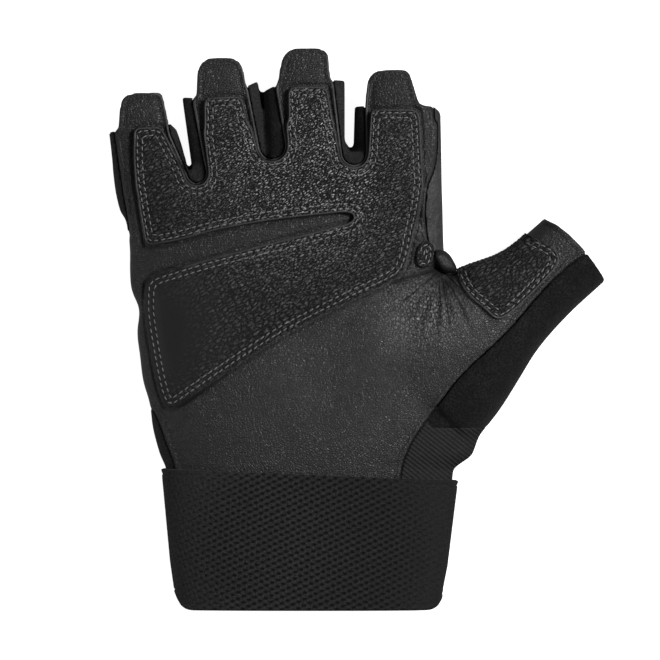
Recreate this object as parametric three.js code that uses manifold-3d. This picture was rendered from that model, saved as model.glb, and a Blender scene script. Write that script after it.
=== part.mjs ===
// A fingerless weightlifting glove for the right hand, lying on its back with the palm up.
// Millimetres, +Z up, fingers towards +Y, thumb towards +X, the back of the hand on z = 0.
import * as THREE from "three";
import { mergeVertices } from "three/addons/utils/BufferGeometryUtils.js";
import Module from "manifold-3d";

const wasm = await Module();
wasm.setup();

// Driving dimensions
const PALM_WIDTH = 102; // across the knuckles
const PALM_LENGTH = 96; // from the wrap's upper edge to the finger crotches
const PALM_HEIGHT = 30; // back to front at the ball of the thumb
const FINGER_LENGTH = 31; // middle finger tube, from the knuckle line to its open end
const FINGER_WIDTH = 24.8; // middle finger tube, lying flattened
const FINGER_HEIGHT = 17;
const TAB_LENGTH = 11.4; // pull tab past the open end of a finger
const TAB_WIDTH = 15.2;
const THUMB_LENGTH = 64; // from the middle of its root to its open end
const THUMB_WIDTH = 25.4;
const THUMB_HEIGHT = 20;
const THUMB_ANGLE = THREE.MathUtils.degToRad(46); // from the wrist line towards the fingers
const WRIST_WIDTH = 92; // outside the wrap
const WRIST_HEIGHT = 29; // top of the wrap above the table
const WRAP_LENGTH = 42.5;
const WRAP_THICKNESS = 1.6;
const WRAP_TAPER = 0.9; // width at the open end against the width at the hand
const WRAP_SLANT = 0.04; // the upper edge falls this much for each millimetre towards the thumb
const CUFF_DEPTH = 9; // how far the leather and the back reach into the wrap
const CLOSURE_THICKNESS = 1.5;
const CLOSURE_WIDTH = 58;
const CLOSURE_LENGTH = 34;
const WALL = 1.6; // leather and fabric walls
const PAD_THICKNESS = 1.6; // overlay leather with its foam
const FOLD_THICKNESS = 1.4;
const PAD_MARGIN = 0.9; // how far the overlay stays inside the leather's own edges
const PAD_FLARE = 2.4; // the same between the fingertips
const PAD_CORNER = 1.5;
const SEAM = 0.3; // gap between neighbouring pieces
const BACK_SEAM_AT_WRIST = 12; // height of the seam between the back of the hand and the sides
const BACK_SEAM_AT_KNUCKLES = 8.5;
const REACH = 14; // how far cutting shapes run past what they cut

// Fineness of the walls
const ROW_STEP = 8;
const ARC_STEPS = 4;
const LUG_SIDES = 12;
const LUG_ROWS = 8;
const SAME_POINT = 1e-4; // vertices nearer than this are one
const SHARPEST_MITRE = 0.5; // a widened corner moves out by at most the distance over this
const GRID = 0.01; // finished vertices lie on this grid, so that no two nearly touch

// Roundness of a section: 2 is an ellipse, more is squarer
const FRONT_ROUNDNESS = 2.5;
const BACK_ROUNDNESS = 3.6;
const WAIST = 0.42; // share of the height at which a section is widest

// Palm sections from the wrap to the knuckles. along is a share of PALM_LENGTH, left and right are
// shares of PALM_WIDTH from the middle line, base and top are shares of PALM_HEIGHT, and slant is the
// slope of the section towards the index finger.
const PALM_SECTIONS = [
  { along: 0.065, left: -0.422, right: 0.5, base: 0.08, top: 0.93, slant: 0 },
  { along: 0.113, left: -0.435, right: 0.529, base: 0.045, top: 0.96, slant: 0 },
  { along: 0.152, left: -0.444, right: 0.55, base: 0.015, top: 0.975, slant: 0 },
  { along: 0.229, left: -0.453, right: 0.541, base: -0.01, top: 0.99, slant: 0 },
  { along: 0.306, left: -0.474, right: 0.517, base: -0.012, top: 1.0, slant: 0 },
  { along: 0.384, left: -0.483, right: 0.492, base: -0.012, top: 1.0, slant: 0 },
  { along: 0.461, left: -0.492, right: 0.474, base: -0.012, top: 0.985, slant: 0 },
  { along: 0.539, left: -0.486, right: 0.456, base: -0.012, top: 0.965, slant: 0 },
  { along: 0.597, left: -0.509, right: 0.447, base: -0.012, top: 0.94, slant: 0 },
  { along: 0.655, left: -0.514, right: 0.442, base: -0.012, top: 0.915, slant: 0 },
  { along: 0.726, left: -0.517, right: 0.435, base: -0.012, top: 0.885, slant: 0 },
  { along: 0.81, left: -0.535, right: 0.432, base: -0.012, top: 0.865, slant: 0.02 },
  { along: 0.9, left: -0.55, right: 0.429, base: -0.01, top: 0.84, slant: 0.05 },
  { along: 0.965, left: -0.541, right: 0.42, base: 0.01, top: 0.79, slant: 0.07 },
  { along: 1.022, left: -0.517, right: 0.395, base: 0.04, top: 0.7, slant: 0.08 },
];
const WRIST_ACROSS = 0.03; // middle of the wrist, as a share of PALM_WIDTH
const KNUCKLE_LINE = 0.935; // share of PALM_LENGTH where the finger tubes are measured from

// Fingers. across is a share of PALM_WIDTH at the knuckle line and lean the slope towards the little
// finger. length, width and height are shares of the middle finger's, spread is the extra width at the
// root as a share of its own, and slope the slant of the open end. The tab's width and shift are shares
// of TAB_WIDTH, its length of TAB_LENGTH and its corner radii of its own width. The edges of the leather
// front and of the overlay are shares of the finger's own width.
const FINGERS = [
  {
    name: "little", across: -0.445, lean: 0.165, length: 0.57, width: 0.875, spread: 0.08,
    height: 0.86, slope: 0.1,
    tabWidth: 0.92, tabLength: 0.96, tabShift: 0.085, cornerLeft: 0.3, cornerRight: 0.14,
    frontLeft: -0.35, frontRight: 0.5, padLeft: -0.2, padRight: 0.4,
  },
  {
    name: "ring", across: -0.211, lean: 0.1, length: 0.92, width: 0.975, spread: 0.04,
    height: 0.96, slope: 0.18,
    tabWidth: 0.95, tabLength: 0.95, tabShift: 0.035, cornerLeft: 0.3, cornerRight: 0.26,
    frontLeft: -0.5, frontRight: 0.5, padLeft: -0.4, padRight: 0.4,
  },
  {
    name: "middle", across: 0.018, lean: 0.03, length: 1, width: 1, spread: 0.04,
    height: 1, slope: 0.1,
    tabWidth: 0.96, tabLength: 0.98, tabShift: 0.06, cornerLeft: 0.2, cornerRight: 0.14,
    frontLeft: -0.5, frontRight: 0.5, padLeft: -0.4, padRight: 0.4,
  },
  {
    name: "index", across: 0.2964, lean: 0.01, length: 0.77, width: 1.08, spread: 0.01,
    height: 1.03, slope: -0.02,
    tabWidth: 0.93, tabLength: 1.04, tabShift: -0.17, cornerLeft: 0.18, cornerRight: 0.18,
    frontLeft: -0.5, frontRight: 0.43, padLeft: -0.4, padRight: 0.22,
  },
];

// Finger sections. along is a share of the tube's length, spread of the finger's own spread, base and
// top are shares of its height.
const FINGER_SECTIONS = [
  { along: -0.4, spread: 0.5, base: 0.02, top: 1.3 },
  { along: 0, spread: 1, base: 0.02, top: 1.36 },
  { along: 0.3, spread: 0.8, base: 0.04, top: 1.27 },
  { along: 0.65, spread: 0.3, base: 0.07, top: 1.13 },
  { along: 1, spread: 0, base: 0.1, top: 1 },
];
const STRIP_START = 0.35; // where a finger's front strip begins, as a share of the tube's length
const TAB_DROP = 0.12; // share of the finger's height by which a tab bends down at its end

// Crotches between neighbouring fingers. along is the bottom of the leather's edge as a share of
// PALM_LENGTH, radius, flare and the two shifts are shares of FINGER_WIDTH.
const CROTCHES = [
  { name: "little_ring", along: 0.942, radius: 0.115, flare: 0.24, footShift: 0.12, topShift: -0.065 },
  { name: "ring_middle", along: 1.02, radius: 0.16, flare: 0.17, footShift: 0.09, topShift: 0 },
  { name: "middle_index", along: 1.0, radius: 0.145, flare: 0.19, footShift: 0.04, topShift: 0 },
];

// Thumb sections from its root to its open end. along is a share of THUMB_LENGTH, crotch and outer are
// the two edges as shares of THUMB_WIDTH, base and top are shares of THUMB_HEIGHT.
const THUMB_SECTIONS = [
  { along: 0, crotch: -0.94, outer: 0.73, base: 0.0, top: 1.42 },
  { along: 0.2, crotch: -0.97, outer: 0.685, base: 0.0, top: 1.45 },
  { along: 0.364, crotch: -0.95, outer: 0.6, base: 0.0, top: 1.42 },
  { along: 0.524, crotch: -0.88, outer: 0.512, base: 0.01, top: 1.33 },
  { along: 0.757, crotch: -0.634, outer: 0.476, base: 0.06, top: 1.2 },
  { along: 1, crotch: -0.5, outer: 0.5, base: 0.14, top: 1.1 },
];
const THUMB_ACROSS = 0.395; // the root's middle, as shares of PALM_WIDTH and PALM_LENGTH
const THUMB_ALONG = 0.242;
const THUMB_BULGE = 0.085; // the open end bows out by this share of THUMB_WIDTH

// Mounds and hollows of the front. across and along are shares of PALM_WIDTH and PALM_LENGTH,
// reach is a share of PALM_WIDTH and rise of PALM_HEIGHT.
const MOUNDS = [
  { name: "ball_of_thumb", across: 0.38, along: 0.52, reach: 0.15, rise: 0.055 },
  { name: "heel_of_hand", across: -0.3, along: 0.28, reach: 0.18, rise: 0.02 },
  { name: "cup_of_palm", across: 0.02, along: 0.42, reach: 0.2, rise: -0.05 },
  { name: "under_little", across: -0.4, along: 0.86, reach: 0.09, rise: 0.025 },
  { name: "under_ring", across: -0.2, along: 0.88, reach: 0.09, rise: 0.03 },
  { name: "under_middle", across: 0.04, along: 0.9, reach: 0.09, rise: 0.03 },
  { name: "under_index", across: 0.3, along: 0.88, reach: 0.1, rise: 0.025 },
];

// Folds of the front, each a ridge from one point to another. across and along are shares of
// PALM_WIDTH and PALM_LENGTH, breadth of PALM_WIDTH and rise of PALM_HEIGHT.
const FOLDS = [
  { fromAcross: 0.44, fromAlong: 0.65, toAcross: 0.36, toAlong: 0.48, breadth: 0.022, rise: 0.03 },
  { fromAcross: 0.38, fromAlong: 0.64, toAcross: 0.26, toAlong: 0.52, breadth: 0.022, rise: 0.028 },
  { fromAcross: 0.31, fromAlong: 0.61, toAcross: 0.12, toAlong: 0.47, breadth: 0.02, rise: -0.025 },
  { fromAcross: 0.39, fromAlong: 0.9, toAcross: 0.41, toAlong: 0.78, breadth: 0.02, rise: -0.03 },
  { fromAcross: -0.5, fromAlong: 0.6, toAcross: -0.2, toAlong: 0.66, breadth: 0.03, rise: -0.025 },
];

// Edge of the palm leather below the fingers, as shares of PALM_WIDTH and PALM_LENGTH. Where the leather
// goes round the side of the hand, the edge runs clear of it.
const LEATHER_EDGE = [
  { across: -0.55, along: 1.107 },
  { across: -0.53, along: 0.97 },
  { across: -0.508, along: 0.8 },
  { across: -0.513, along: 0.74 },
  { across: -0.62, along: 0.7 },
  { across: -0.62, along: 0.24 },
  { across: -0.452, along: 0.222 },
  { across: -0.432, along: 0.19 },
  { across: -0.403, along: 0.1 },
  { across: -0.372, along: 0.02 },
  { across: -0.366, along: -0.2 },
  { across: 0.298, along: -0.2 },
  { across: 0.3, along: -0.02 },
  { across: 0.316, along: 0.06 },
  { across: 0.348, along: 0.126 },
  { across: 0.388, along: 0.185 },
  { across: 0.43, along: 0.245 },
  { across: 0.485, along: 0.322 },
  { across: 0.57, along: 0.405 },
  { across: 0.632, along: 0.466 },
  { across: 0.727, along: 0.587 },
  { across: 0.8, along: 0.664 },
  { across: 0.86, along: 0.712 },
  { across: 0.98, along: 0.76 },
  { across: 0.76, along: 0.92 },
  { across: 0.56, along: 0.75 },
  { across: 0.462, along: 0.665 },
  { across: 0.41, along: 0.7 },
  { across: 0.383, along: 0.76 },
  { across: 0.38, along: 0.92 },
  { across: 0.408, along: 0.98 },
  { across: 0.417, along: 1.05 },
  { across: 0.42, along: 1.19 },
];

// Outer edge of the C-shaped overlay, from its little finger corner round to its heel, and its slot.
const PAD_EDGE = [
  { across: -0.503, along: 1.1 },
  { across: -0.505, along: 1.02 },
  { across: -0.496, along: 0.923 },
  { across: -0.471, along: 0.765 },
  { across: -0.465, along: 0.742 },
  { across: -0.465, along: 0.629 },
  { across: -0.471, along: 0.54 },
  { across: -0.459, along: 0.445 },
  { across: -0.432, along: 0.29 },
  { across: -0.412, along: 0.228 },
  { across: -0.39, along: 0.212 },
  { across: -0.336, along: 0.252 },
  { across: -0.208, along: 0.345 },
  { across: -0.08, along: 0.434 },
  { across: -0.026, along: 0.468 },
  { across: 0.091, along: 0.532 },
  { across: 0.187, along: 0.582 },
  { across: 0.283, along: 0.629 },
  { across: 0.316, along: 0.658 },
  { across: 0.334, along: 0.719 },
  { across: 0.346, along: 0.787 },
  { across: 0.363, along: 0.855 },
  { across: 0.372, along: 0.923 },
  { across: 0.368, along: 1.097 },
  { across: 0.36, along: 1.17 },
];
const SLOT_EDGE = [
  { across: -0.56, along: 0.738 },
  { across: -0.465, along: 0.738 },
  { across: -0.356, along: 0.758 },
  { across: -0.274, along: 0.785 },
  { across: -0.112, along: 0.819 },
  { across: 0.09, along: 0.843 },
  { across: 0.143, along: 0.848 },
  { across: 0.164, along: 0.842 },
  { across: 0.168, along: 0.828 },
  { across: 0.155, along: 0.813 },
  { across: 0.091, along: 0.795 },
  { across: -0.144, along: 0.732 },
  { across: -0.274, along: 0.697 },
  { across: -0.401, along: 0.656 },
  { across: -0.45, along: 0.64 },
  { across: -0.465, along: 0.615 },
  { across: -0.56, along: 0.615 },
];

// The patch on the thumb. along is a share of THUMB_LENGTH, across of THUMB_WIDTH.
const THUMB_PATCH_EDGE = [
  { along: 0.62, across: -1.1 },
  { along: 0.536, across: -0.88 },
  { along: 0.497, across: -0.68 },
  { along: 0.49, across: -0.47 },
  { along: 0.5, across: -0.25 },
  { along: 0.497, across: -0.1 },
  { along: 0.535, across: -0.05 },
  { along: 0.6, across: -0.018 },
  { along: 0.81, across: -0.008 },
  { along: 0.9, across: -0.018 },
  { along: 0.937, across: -0.09 },
  { along: 0.948, across: -0.23 },
  { along: 0.9, across: -0.56 },
  { along: 0.88, across: -1.1 },
];

// Edge between thumb and hand on the back, and between thumb fabric and cuff gusset.
const THUMB_ROOT_LINE = { crotchAcross: 0.44, crotchAlong: 0.664, outerAcross: 0.38 };
const GUSSET_TOP = 0.152; // shares of PALM_LENGTH
const ULNAR_TOP = 0.3;
const SIDE_WALL_FOOT = 0.66;
const FOURCHETTE_FOOT = 0.922;

// The stitched fold and the smooth lug in the thumb crotch, as shares of PALM_WIDTH and PALM_LENGTH.
const CROTCH_FOLD_EDGE = [
  { across: 0.352, along: 0.67 },
  { across: 0.352, along: 0.72 },
  { across: 0.368, along: 0.753 },
  { across: 0.392, along: 0.757 },
  { across: 0.41, along: 0.735 },
  { across: 0.405, along: 0.7 },
  { across: 0.4, along: 0.67 },
];
const CROTCH_TAB = { across: 0.437, along: 0.693, height: 0.55 };
const CROTCH_TAB_SIZE = { length: 7.4, breadth: 6.2, height: 9 };

// Places on the palm, from shares of its size

function palmX(across) {
  return across * PALM_WIDTH;
}

function palmY(along) {
  return along * PALM_LENGTH;
}

function palmPoints(table) {
  return table.map((row) => new THREE.Vector2(palmX(row.across), palmY(row.along)));
}

const KNUCKLE_Y = palmY(KNUCKLE_LINE);
const FAR = PALM_WIDTH + PALM_LENGTH + THUMB_LENGTH; // past everything
const THUMB_AXIS = new THREE.Vector2(Math.cos(THUMB_ANGLE), Math.sin(THUMB_ANGLE));
const THUMB_SIDE = new THREE.Vector2(THUMB_AXIS.y, -THUMB_AXIS.x);
const THUMB_ROOT = new THREE.Vector2(palmX(THUMB_ACROSS), palmY(THUMB_ALONG));

function thumbPoint(along, across) {
  return THUMB_ROOT.clone()
    .addScaledVector(THUMB_AXIS, along)
    .addScaledVector(THUMB_SIDE, across);
}

// Solids

function solidFrom(geometry) {
  const bare = geometry.clone();
  bare.deleteAttribute("normal");
  bare.deleteAttribute("uv");
  const merged = mergeVertices(bare, SAME_POINT);
  return new wasm.Manifold(
    new wasm.Mesh({
      numProp: 3,
      vertProperties: merged.attributes.position.array,
      triVerts: new Uint32Array(merged.index.array),
    }),
  );
}

// A closed body through rings of points, all with as many points, with a flat fan at each end.
function loft(rings) {
  const count = rings[0].length;
  const positions = rings.flat();
  const faces = [];
  for (let row = 0; row + 1 < rings.length; row++) {
    for (let i = 0; i < count; i++) {
      const next = (i + 1) % count;
      const a = row * count + i;
      const b = row * count + next;
      faces.push(a, b + count, b, a, a + count, b + count);
    }
  }
  for (const [row, forward] of [[0, false], [rings.length - 1, true]]) {
    const middle = new THREE.Vector3();
    rings[row].forEach((point) => middle.addScaledVector(point, 1 / count));
    const hub = positions.push(middle) - 1;
    for (let i = 0; i < count; i++) {
      const a = row * count + i;
      const b = row * count + ((i + 1) % count);
      faces.push(hub, forward ? b : a, forward ? a : b);
    }
  }
  const numbers = positions.flatMap((point) => point.toArray());
  const geometry = new THREE.BufferGeometry();
  geometry.setAttribute("position", new THREE.Float32BufferAttribute(numbers, 3));
  geometry.setIndex(faces);
  return solidFrom(geometry);
}

// A prism over a plan outline, between two heights.
function prism(points, from, to) {
  const shape = new THREE.Shape(points);
  const geometry = new THREE.ExtrudeGeometry(shape, { depth: to - from, bevelEnabled: false });
  geometry.translate(0, 0, from);
  return solidFrom(geometry);
}

function tallPrism(points) {
  return prism(points, -REACH, PALM_HEIGHT + REACH);
}

function block(minX, minY, minZ, maxX, maxY, maxZ) {
  const box = new THREE.BoxGeometry(maxX - minX, maxY - minY, maxZ - minZ);
  box.translate((minX + maxX) / 2, (minY + maxY) / 2, (minZ + maxZ) / 2);
  return solidFrom(box);
}

function joined(solids) {
  return solids.reduce((whole, solid) => whole.add(solid));
}

// An outline moved outwards by a distance, corner by corner.
function widened(points, distance) {
  const turn = THREE.ShapeUtils.isClockWise(points) ? -1 : 1;
  return points.map((point, i) => {
    const before = points[(i + points.length - 1) % points.length];
    const after = points[(i + 1) % points.length];
    const inwards = point.clone().sub(before).normalize();
    const onwards = after.clone().sub(point).normalize();
    const normal = new THREE.Vector2(inwards.y + onwards.y, -inwards.x - onwards.x).normalize();
    const mitre = Math.max(normal.x * inwards.y - normal.y * inwards.x, SHARPEST_MITRE);
    return point.clone().addScaledVector(normal, (turn * distance) / mitre);
  });
}

// The relief of the front of the hand

function relief(x, y) {
  let rise = 0;
  for (const mound of MOUNDS) {
    const distance = Math.hypot(x - palmX(mound.across), y - palmY(mound.along));
    rise += mound.rise * PALM_HEIGHT * Math.exp(-((distance / palmX(mound.reach)) ** 2));
  }
  for (const fold of FOLDS) {
    const from = new THREE.Vector2(palmX(fold.fromAcross), palmY(fold.fromAlong));
    const run = new THREE.Vector2(palmX(fold.toAcross), palmY(fold.toAlong)).sub(from);
    const offset = new THREE.Vector2(x, y).sub(from);
    const share = THREE.MathUtils.clamp(offset.dot(run) / run.lengthSq(), 0, 1);
    const distance = offset.addScaledVector(run, -share).length();
    rise += fold.rise * PALM_HEIGHT * Math.exp(-((distance / palmX(fold.breadth)) ** 2));
  }
  return rise;
}

// Angles round a section, finer over the front than over the back.
function sectionAngles(frontSteps, backSteps) {
  const angles = [];
  for (let i = 0; i < frontSteps; i++) angles.push((Math.PI * i) / frontSteps);
  for (let i = 0; i < backSteps; i++) angles.push(Math.PI + (Math.PI * i) / backSteps);
  return angles;
}

// The hollow inside is coarser than the skin.
const SKIN_ANGLES = { palm: sectionAngles(26, 10), limb: sectionAngles(14, 6) };
const HOLLOW_ANGLES = { palm: sectionAngles(14, 6), limb: sectionAngles(9, 5) };

function anglesFor(ends) {
  return ends === "open" ? HOLLOW_ANGLES : SKIN_ANGLES;
}

// A ring of points round a flattened tube. origin and side give its place and its sideways direction,
// from and to are its edges along side, base and top its heights.
function ring(angles, origin, side, from, to, base, top) {
  const centre = (from + to) / 2;
  const half = (to - from) / 2;
  const waist = base + (top - base) * WAIST;
  return angles.map((angle) => {
    const cos = Math.cos(angle);
    const sin = Math.sin(angle);
    const power = 2 / (sin > 0 ? FRONT_ROUNDNESS : BACK_ROUNDNESS);
    const across = centre + half * Math.sign(cos) * Math.abs(cos) ** power;
    const spot = origin.clone().addScaledVector(side, across);
    const lift = Math.abs(sin) ** power;
    const height = sin > 0
      ? waist + (top - waist + relief(spot.x, spot.y)) * lift
      : waist - (waist - base) * lift;
    return new THREE.Vector3(spot.x, spot.y, height);
  });
}

// The rows of a table with rows eased in between where they lie far apart.
function finerRows(table, length) {
  const rows = [table[0]];
  for (let i = 1; i < table.length; i++) {
    const before = table[i - 1];
    const after = table[i];
    const steps = Math.max(Math.round(((after.along - before.along) * length) / ROW_STEP), 1);
    for (let step = 1; step <= steps; step++) {
      const row = {};
      for (const name of Object.keys(after)) {
        row[name] = THREE.MathUtils.lerp(before[name], after[name], step / steps);
      }
      rows.push(row);
    }
  }
  return rows;
}

// The wrist. At zero growth its skin is the inner face of the wrap.

const ACROSS = new THREE.Vector2(1, 0);
const WRIST_BASE = CLOSURE_THICKNESS + SEAM + WRAP_THICKNESS;
const WRIST_TOP = WRIST_HEIGHT - WRAP_THICKNESS;
const CUFF_RISE = (WRAP_SLANT * WRIST_WIDTH) / 2 + SEAM;

function wristRing(angles, y, growth, slant) {
  const taper = THREE.MathUtils.lerp(1, WRAP_TAPER, THREE.MathUtils.clamp(-y / WRAP_LENGTH, 0, 1));
  const half = (WRIST_WIDTH / 2) * taper - WRAP_THICKNESS + growth;
  const origin = new THREE.Vector2(palmX(WRIST_ACROSS), y);
  const points = ring(angles, origin, ACROSS, -half, half, WRIST_BASE - growth, WRIST_TOP + growth);
  for (const point of points) point.y -= slant * (point.x - origin.x);
  return points;
}

function wristForm(growth, overrun) {
  const angles = SKIN_ANGLES.palm;
  const steps = Math.round(WRAP_LENGTH / ROW_STEP / 2);
  const rings = [];
  for (let i = 0; i <= steps; i++) {
    rings.push(wristRing(angles, -WRAP_LENGTH * (1 - i / steps), growth, (WRAP_SLANT * i) / steps));
  }
  if (overrun > 0) {
    rings.unshift(wristRing(angles, -WRAP_LENGTH - overrun, growth, 0));
    rings.push(wristRing(angles, overrun, growth, WRAP_SLANT));
  }
  return loft(rings);
}

// The hand. Growth moves its skin outwards; ends says how the open ends finish: "even" where the tubes
// end, "tabs" with room for the pull tabs, "open" well past them.

function palmForm(growth, ends) {
  const cuffEnd = -CUFF_DEPTH - (ends === "open" ? REACH : 0);
  const angles = anglesFor(ends).palm;
  const rings = [cuffEnd, -CUFF_DEPTH / 2, CUFF_RISE].map((y) => wristRing(angles, y, growth - SEAM, 0));
  const rows = finerRows(PALM_SECTIONS, PALM_LENGTH);
  rows.forEach((row, i) => {
    const y = palmY(row.along) + (i === rows.length - 1 ? growth : 0);
    const points = ring(
      angles,
      new THREE.Vector2(0, y),
      ACROSS,
      palmX(row.left) - growth,
      palmX(row.right) + growth,
      row.base * PALM_HEIGHT - growth,
      row.top * PALM_HEIGHT + growth,
    );
    for (const point of points) point.y += row.slant * point.x;
    rings.push(points);
  });
  return loft(rings);
}

function fingerFrame(finger) {
  const axis = new THREE.Vector2(-finger.lean, 1).normalize();
  return {
    axis,
    side: new THREE.Vector2(axis.y, -axis.x),
    origin: new THREE.Vector2(palmX(finger.across), KNUCKLE_Y),
    length: finger.length * FINGER_LENGTH,
    width: finger.width * FINGER_WIDTH,
    spread: finger.spread,
    height: finger.height * FINGER_HEIGHT,
    tabLength: finger.tabLength * TAB_LENGTH,
    tabWidth: finger.tabWidth * TAB_WIDTH,
    tabShift: finger.tabShift * TAB_WIDTH,
  };
}

// Where a finger's axis crosses a line across the hand.
function axisAt(finger, y) {
  return palmX(finger.across) - finger.lean * (y - KNUCKLE_Y);
}

function fingerRing(angles, frame, distance, row, drop, growth) {
  const half = (frame.width * (1 + frame.spread * row.spread)) / 2 + growth;
  return ring(
    angles,
    frame.origin.clone().addScaledVector(frame.axis, distance),
    frame.side,
    -half,
    half,
    row.base * frame.height - growth,
    (row.top - drop) * frame.height + growth,
  );
}

function fingerForm(finger, growth, ends) {
  const frame = fingerFrame(finger);
  const rows = finerRows(FINGER_SECTIONS, frame.length);
  const angles = anglesFor(ends).limb;
  const rings = rows.map((row) => fingerRing(angles, frame, row.along * frame.length, row, 0, growth));
  const lastRow = rows[rows.length - 1];
  if (ends === "even") {
    for (const point of rings[rings.length - 1]) {
      const offset = new THREE.Vector2(point.x, point.y).sub(frame.origin);
      const rise = finger.slope * offset.dot(frame.side);
      point.x += frame.axis.x * rise;
      point.y += frame.axis.y * rise;
    }
  } else {
    const past = ends === "open" ? REACH : SEAM;
    for (const share of [0.5, 1]) {
      const distance = frame.length + frame.tabLength * share + past * share;
      rings.push(fingerRing(angles, frame, distance, lastRow, TAB_DROP * share, growth));
    }
  }
  return loft(rings);
}

function thumbForm(growth, ends) {
  const rows = finerRows(THUMB_SECTIONS, THUMB_LENGTH);
  const angles = anglesFor(ends).limb;
  const rings = rows.map((row) => thumbRing(angles, row.along * THUMB_LENGTH, row, growth));
  const lastRow = rows[rows.length - 1];
  if (ends === "open") {
    rings.push(thumbRing(angles, THUMB_LENGTH + REACH, lastRow, growth));
  } else {
    for (const point of rings[rings.length - 1]) {
      const share = new THREE.Vector2(point.x, point.y).sub(THUMB_ROOT).dot(THUMB_SIDE) / (THUMB_WIDTH / 2);
      const bulge = THUMB_BULGE * THUMB_WIDTH * Math.max(1 - share * share, 0);
      point.x += THUMB_AXIS.x * bulge;
      point.y += THUMB_AXIS.y * bulge;
    }
  }
  return loft(rings);
}

function thumbRing(angles, distance, row, growth) {
  return ring(
    angles,
    thumbPoint(distance, 0),
    THUMB_SIDE,
    row.crotch * THUMB_WIDTH - growth,
    row.outer * THUMB_WIDTH + growth,
    row.base * THUMB_HEIGHT - growth,
    row.top * THUMB_HEIGHT + growth,
  );
}

function handForm(growth, ends) {
  const limbs = FINGERS.map((finger) => fingerForm(finger, growth, ends));
  return joined([palmForm(growth, ends), thumbForm(growth, ends), ...limbs]);
}

// Everything between two heights.
function between(from, to) {
  const half = PALM_WIDTH + THUMB_LENGTH + REACH;
  const length = PALM_LENGTH + FINGER_LENGTH + TAB_LENGTH + REACH;
  return block(-half, -WRAP_LENGTH - REACH, from, half, length, to);
}

const CEILING = PALM_HEIGHT + REACH;

// Everything above or below the back seam, which falls evenly from the wrist to the knuckles.
function besideSeam(offset, limit) {
  const box = new THREE.BoxGeometry(2 * FAR, 2 * FAR, 2);
  const position = box.attributes.position;
  const seamFace = limit > 0 ? -1 : 1;
  for (let i = 0; i < position.count; i++) {
    const fall = (BACK_SEAM_AT_KNUCKLES - BACK_SEAM_AT_WRIST) * (position.getY(i) / KNUCKLE_Y);
    const onSeam = Math.sign(position.getZ(i)) === seamFace;
    position.setZ(i, onSeam ? BACK_SEAM_AT_WRIST + fall + offset : limit);
  }
  return solidFrom(box);
}

const ABOVE_BACK = besideSeam(SEAM / 2, FAR);
const ABOVE_BACK_EDGE = besideSeam(-SEAM / 2, FAR);
const BELOW_FRONT = besideSeam(-SEAM / 2, -FAR);

const hollow = handForm(-WALL, "open").intersect(between(WALL, CEILING));
const skin = handForm(0, "even").intersect(between(0, CEILING)).subtract(hollow);
const skinWithTabs = handForm(0, "tabs").intersect(between(0, CEILING)).subtract(hollow);

// Plan outlines of the finger fronts, their tabs and the crotches between them

function fingerPlan(frame, rows) {
  return rows.map(([distance, across]) =>
    frame.origin.clone().addScaledVector(frame.axis, distance).addScaledVector(frame.side, across),
  );
}

// A strip along a finger up to a margin short of its open end, with its outer corners cut.
function fingerStrip(finger, left, right, margin, corner) {
  const frame = fingerFrame(finger);
  const end = (across) => frame.length + finger.slope * across - margin;
  return fingerPlan(frame, [
    [frame.length * STRIP_START, left],
    [frame.length * STRIP_START, right],
    [end(right) - corner, right],
    [end(right - corner), right - corner],
    [end(left + corner), left + corner],
    [end(left) - corner, left],
  ]);
}

function arc(centreAcross, centreAlong, radius, from, to) {
  const points = [];
  for (let i = 0; i <= ARC_STEPS; i++) {
    const angle = THREE.MathUtils.lerp(from, to, i / ARC_STEPS);
    points.push([centreAlong + radius * Math.sin(angle), centreAcross + radius * Math.cos(angle)]);
  }
  return points;
}

function tabPlan(finger, growth) {
  const frame = fingerFrame(finger);
  const half = frame.tabWidth / 2 + growth;
  const tip = frame.length + frame.tabLength + growth;
  const leftRadius = finger.cornerLeft * frame.tabWidth;
  const rightRadius = finger.cornerRight * frame.tabWidth;
  const middle = frame.tabShift;
  return fingerPlan(frame, [
    [0, middle - half],
    [0, middle + half],
    ...arc(middle + half - rightRadius, tip - rightRadius, rightRadius, 0, Math.PI / 2),
    ...arc(middle - half + leftRadius, tip - leftRadius, leftRadius, Math.PI / 2, Math.PI),
  ]);
}

// A crotch is a slot with a round foot that widens towards the fingertips.
function crotchPlan(index, footGrowth, flareGrowth) {
  const crotch = CROTCHES[index];
  const left = fingerFrame(FINGERS[index]);
  const right = fingerFrame(FINGERS[index + 1]);
  const middleAt = (y) => {
    const leftEdge = axisAt(FINGERS[index], y) + left.width / 2;
    const rightEdge = axisAt(FINGERS[index + 1], y) - right.width / 2;
    return (leftEdge + rightEdge) / 2;
  };
  const radius = crotch.radius * FINGER_WIDTH + footGrowth;
  const footY = palmY(crotch.along) + crotch.radius * FINGER_WIDTH;
  const foot = middleAt(footY) + crotch.footShift * FINGER_WIDTH;
  const endY = KNUCKLE_Y + Math.max(left.length, right.length);
  const flare = crotch.flare * FINGER_WIDTH + flareGrowth;
  const past = REACH + Math.max(left.tabLength, right.tabLength);
  const widening = (flare - radius) * (past / (endY - footY));
  const top = middleAt(endY) + crotch.topShift * FINGER_WIDTH;
  const drift = (top - foot) * (past / (endY - footY));
  const points = [
    new THREE.Vector2(top + drift + flare + widening, endY + past),
    new THREE.Vector2(top + drift - flare - widening, endY + past),
  ];
  const footSteps = 2 * ARC_STEPS;
  for (let i = 0; i <= footSteps; i++) {
    const angle = Math.PI + (Math.PI * i) / footSteps;
    points.push(new THREE.Vector2(foot + radius * Math.cos(angle), footY + radius * Math.sin(angle)));
  }
  return points;
}

function crotchSlots(footGrowth, flareGrowth) {
  return joined(CROTCHES.map((_, i) => tallPrism(crotchPlan(i, footGrowth, flareGrowth))));
}

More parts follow.
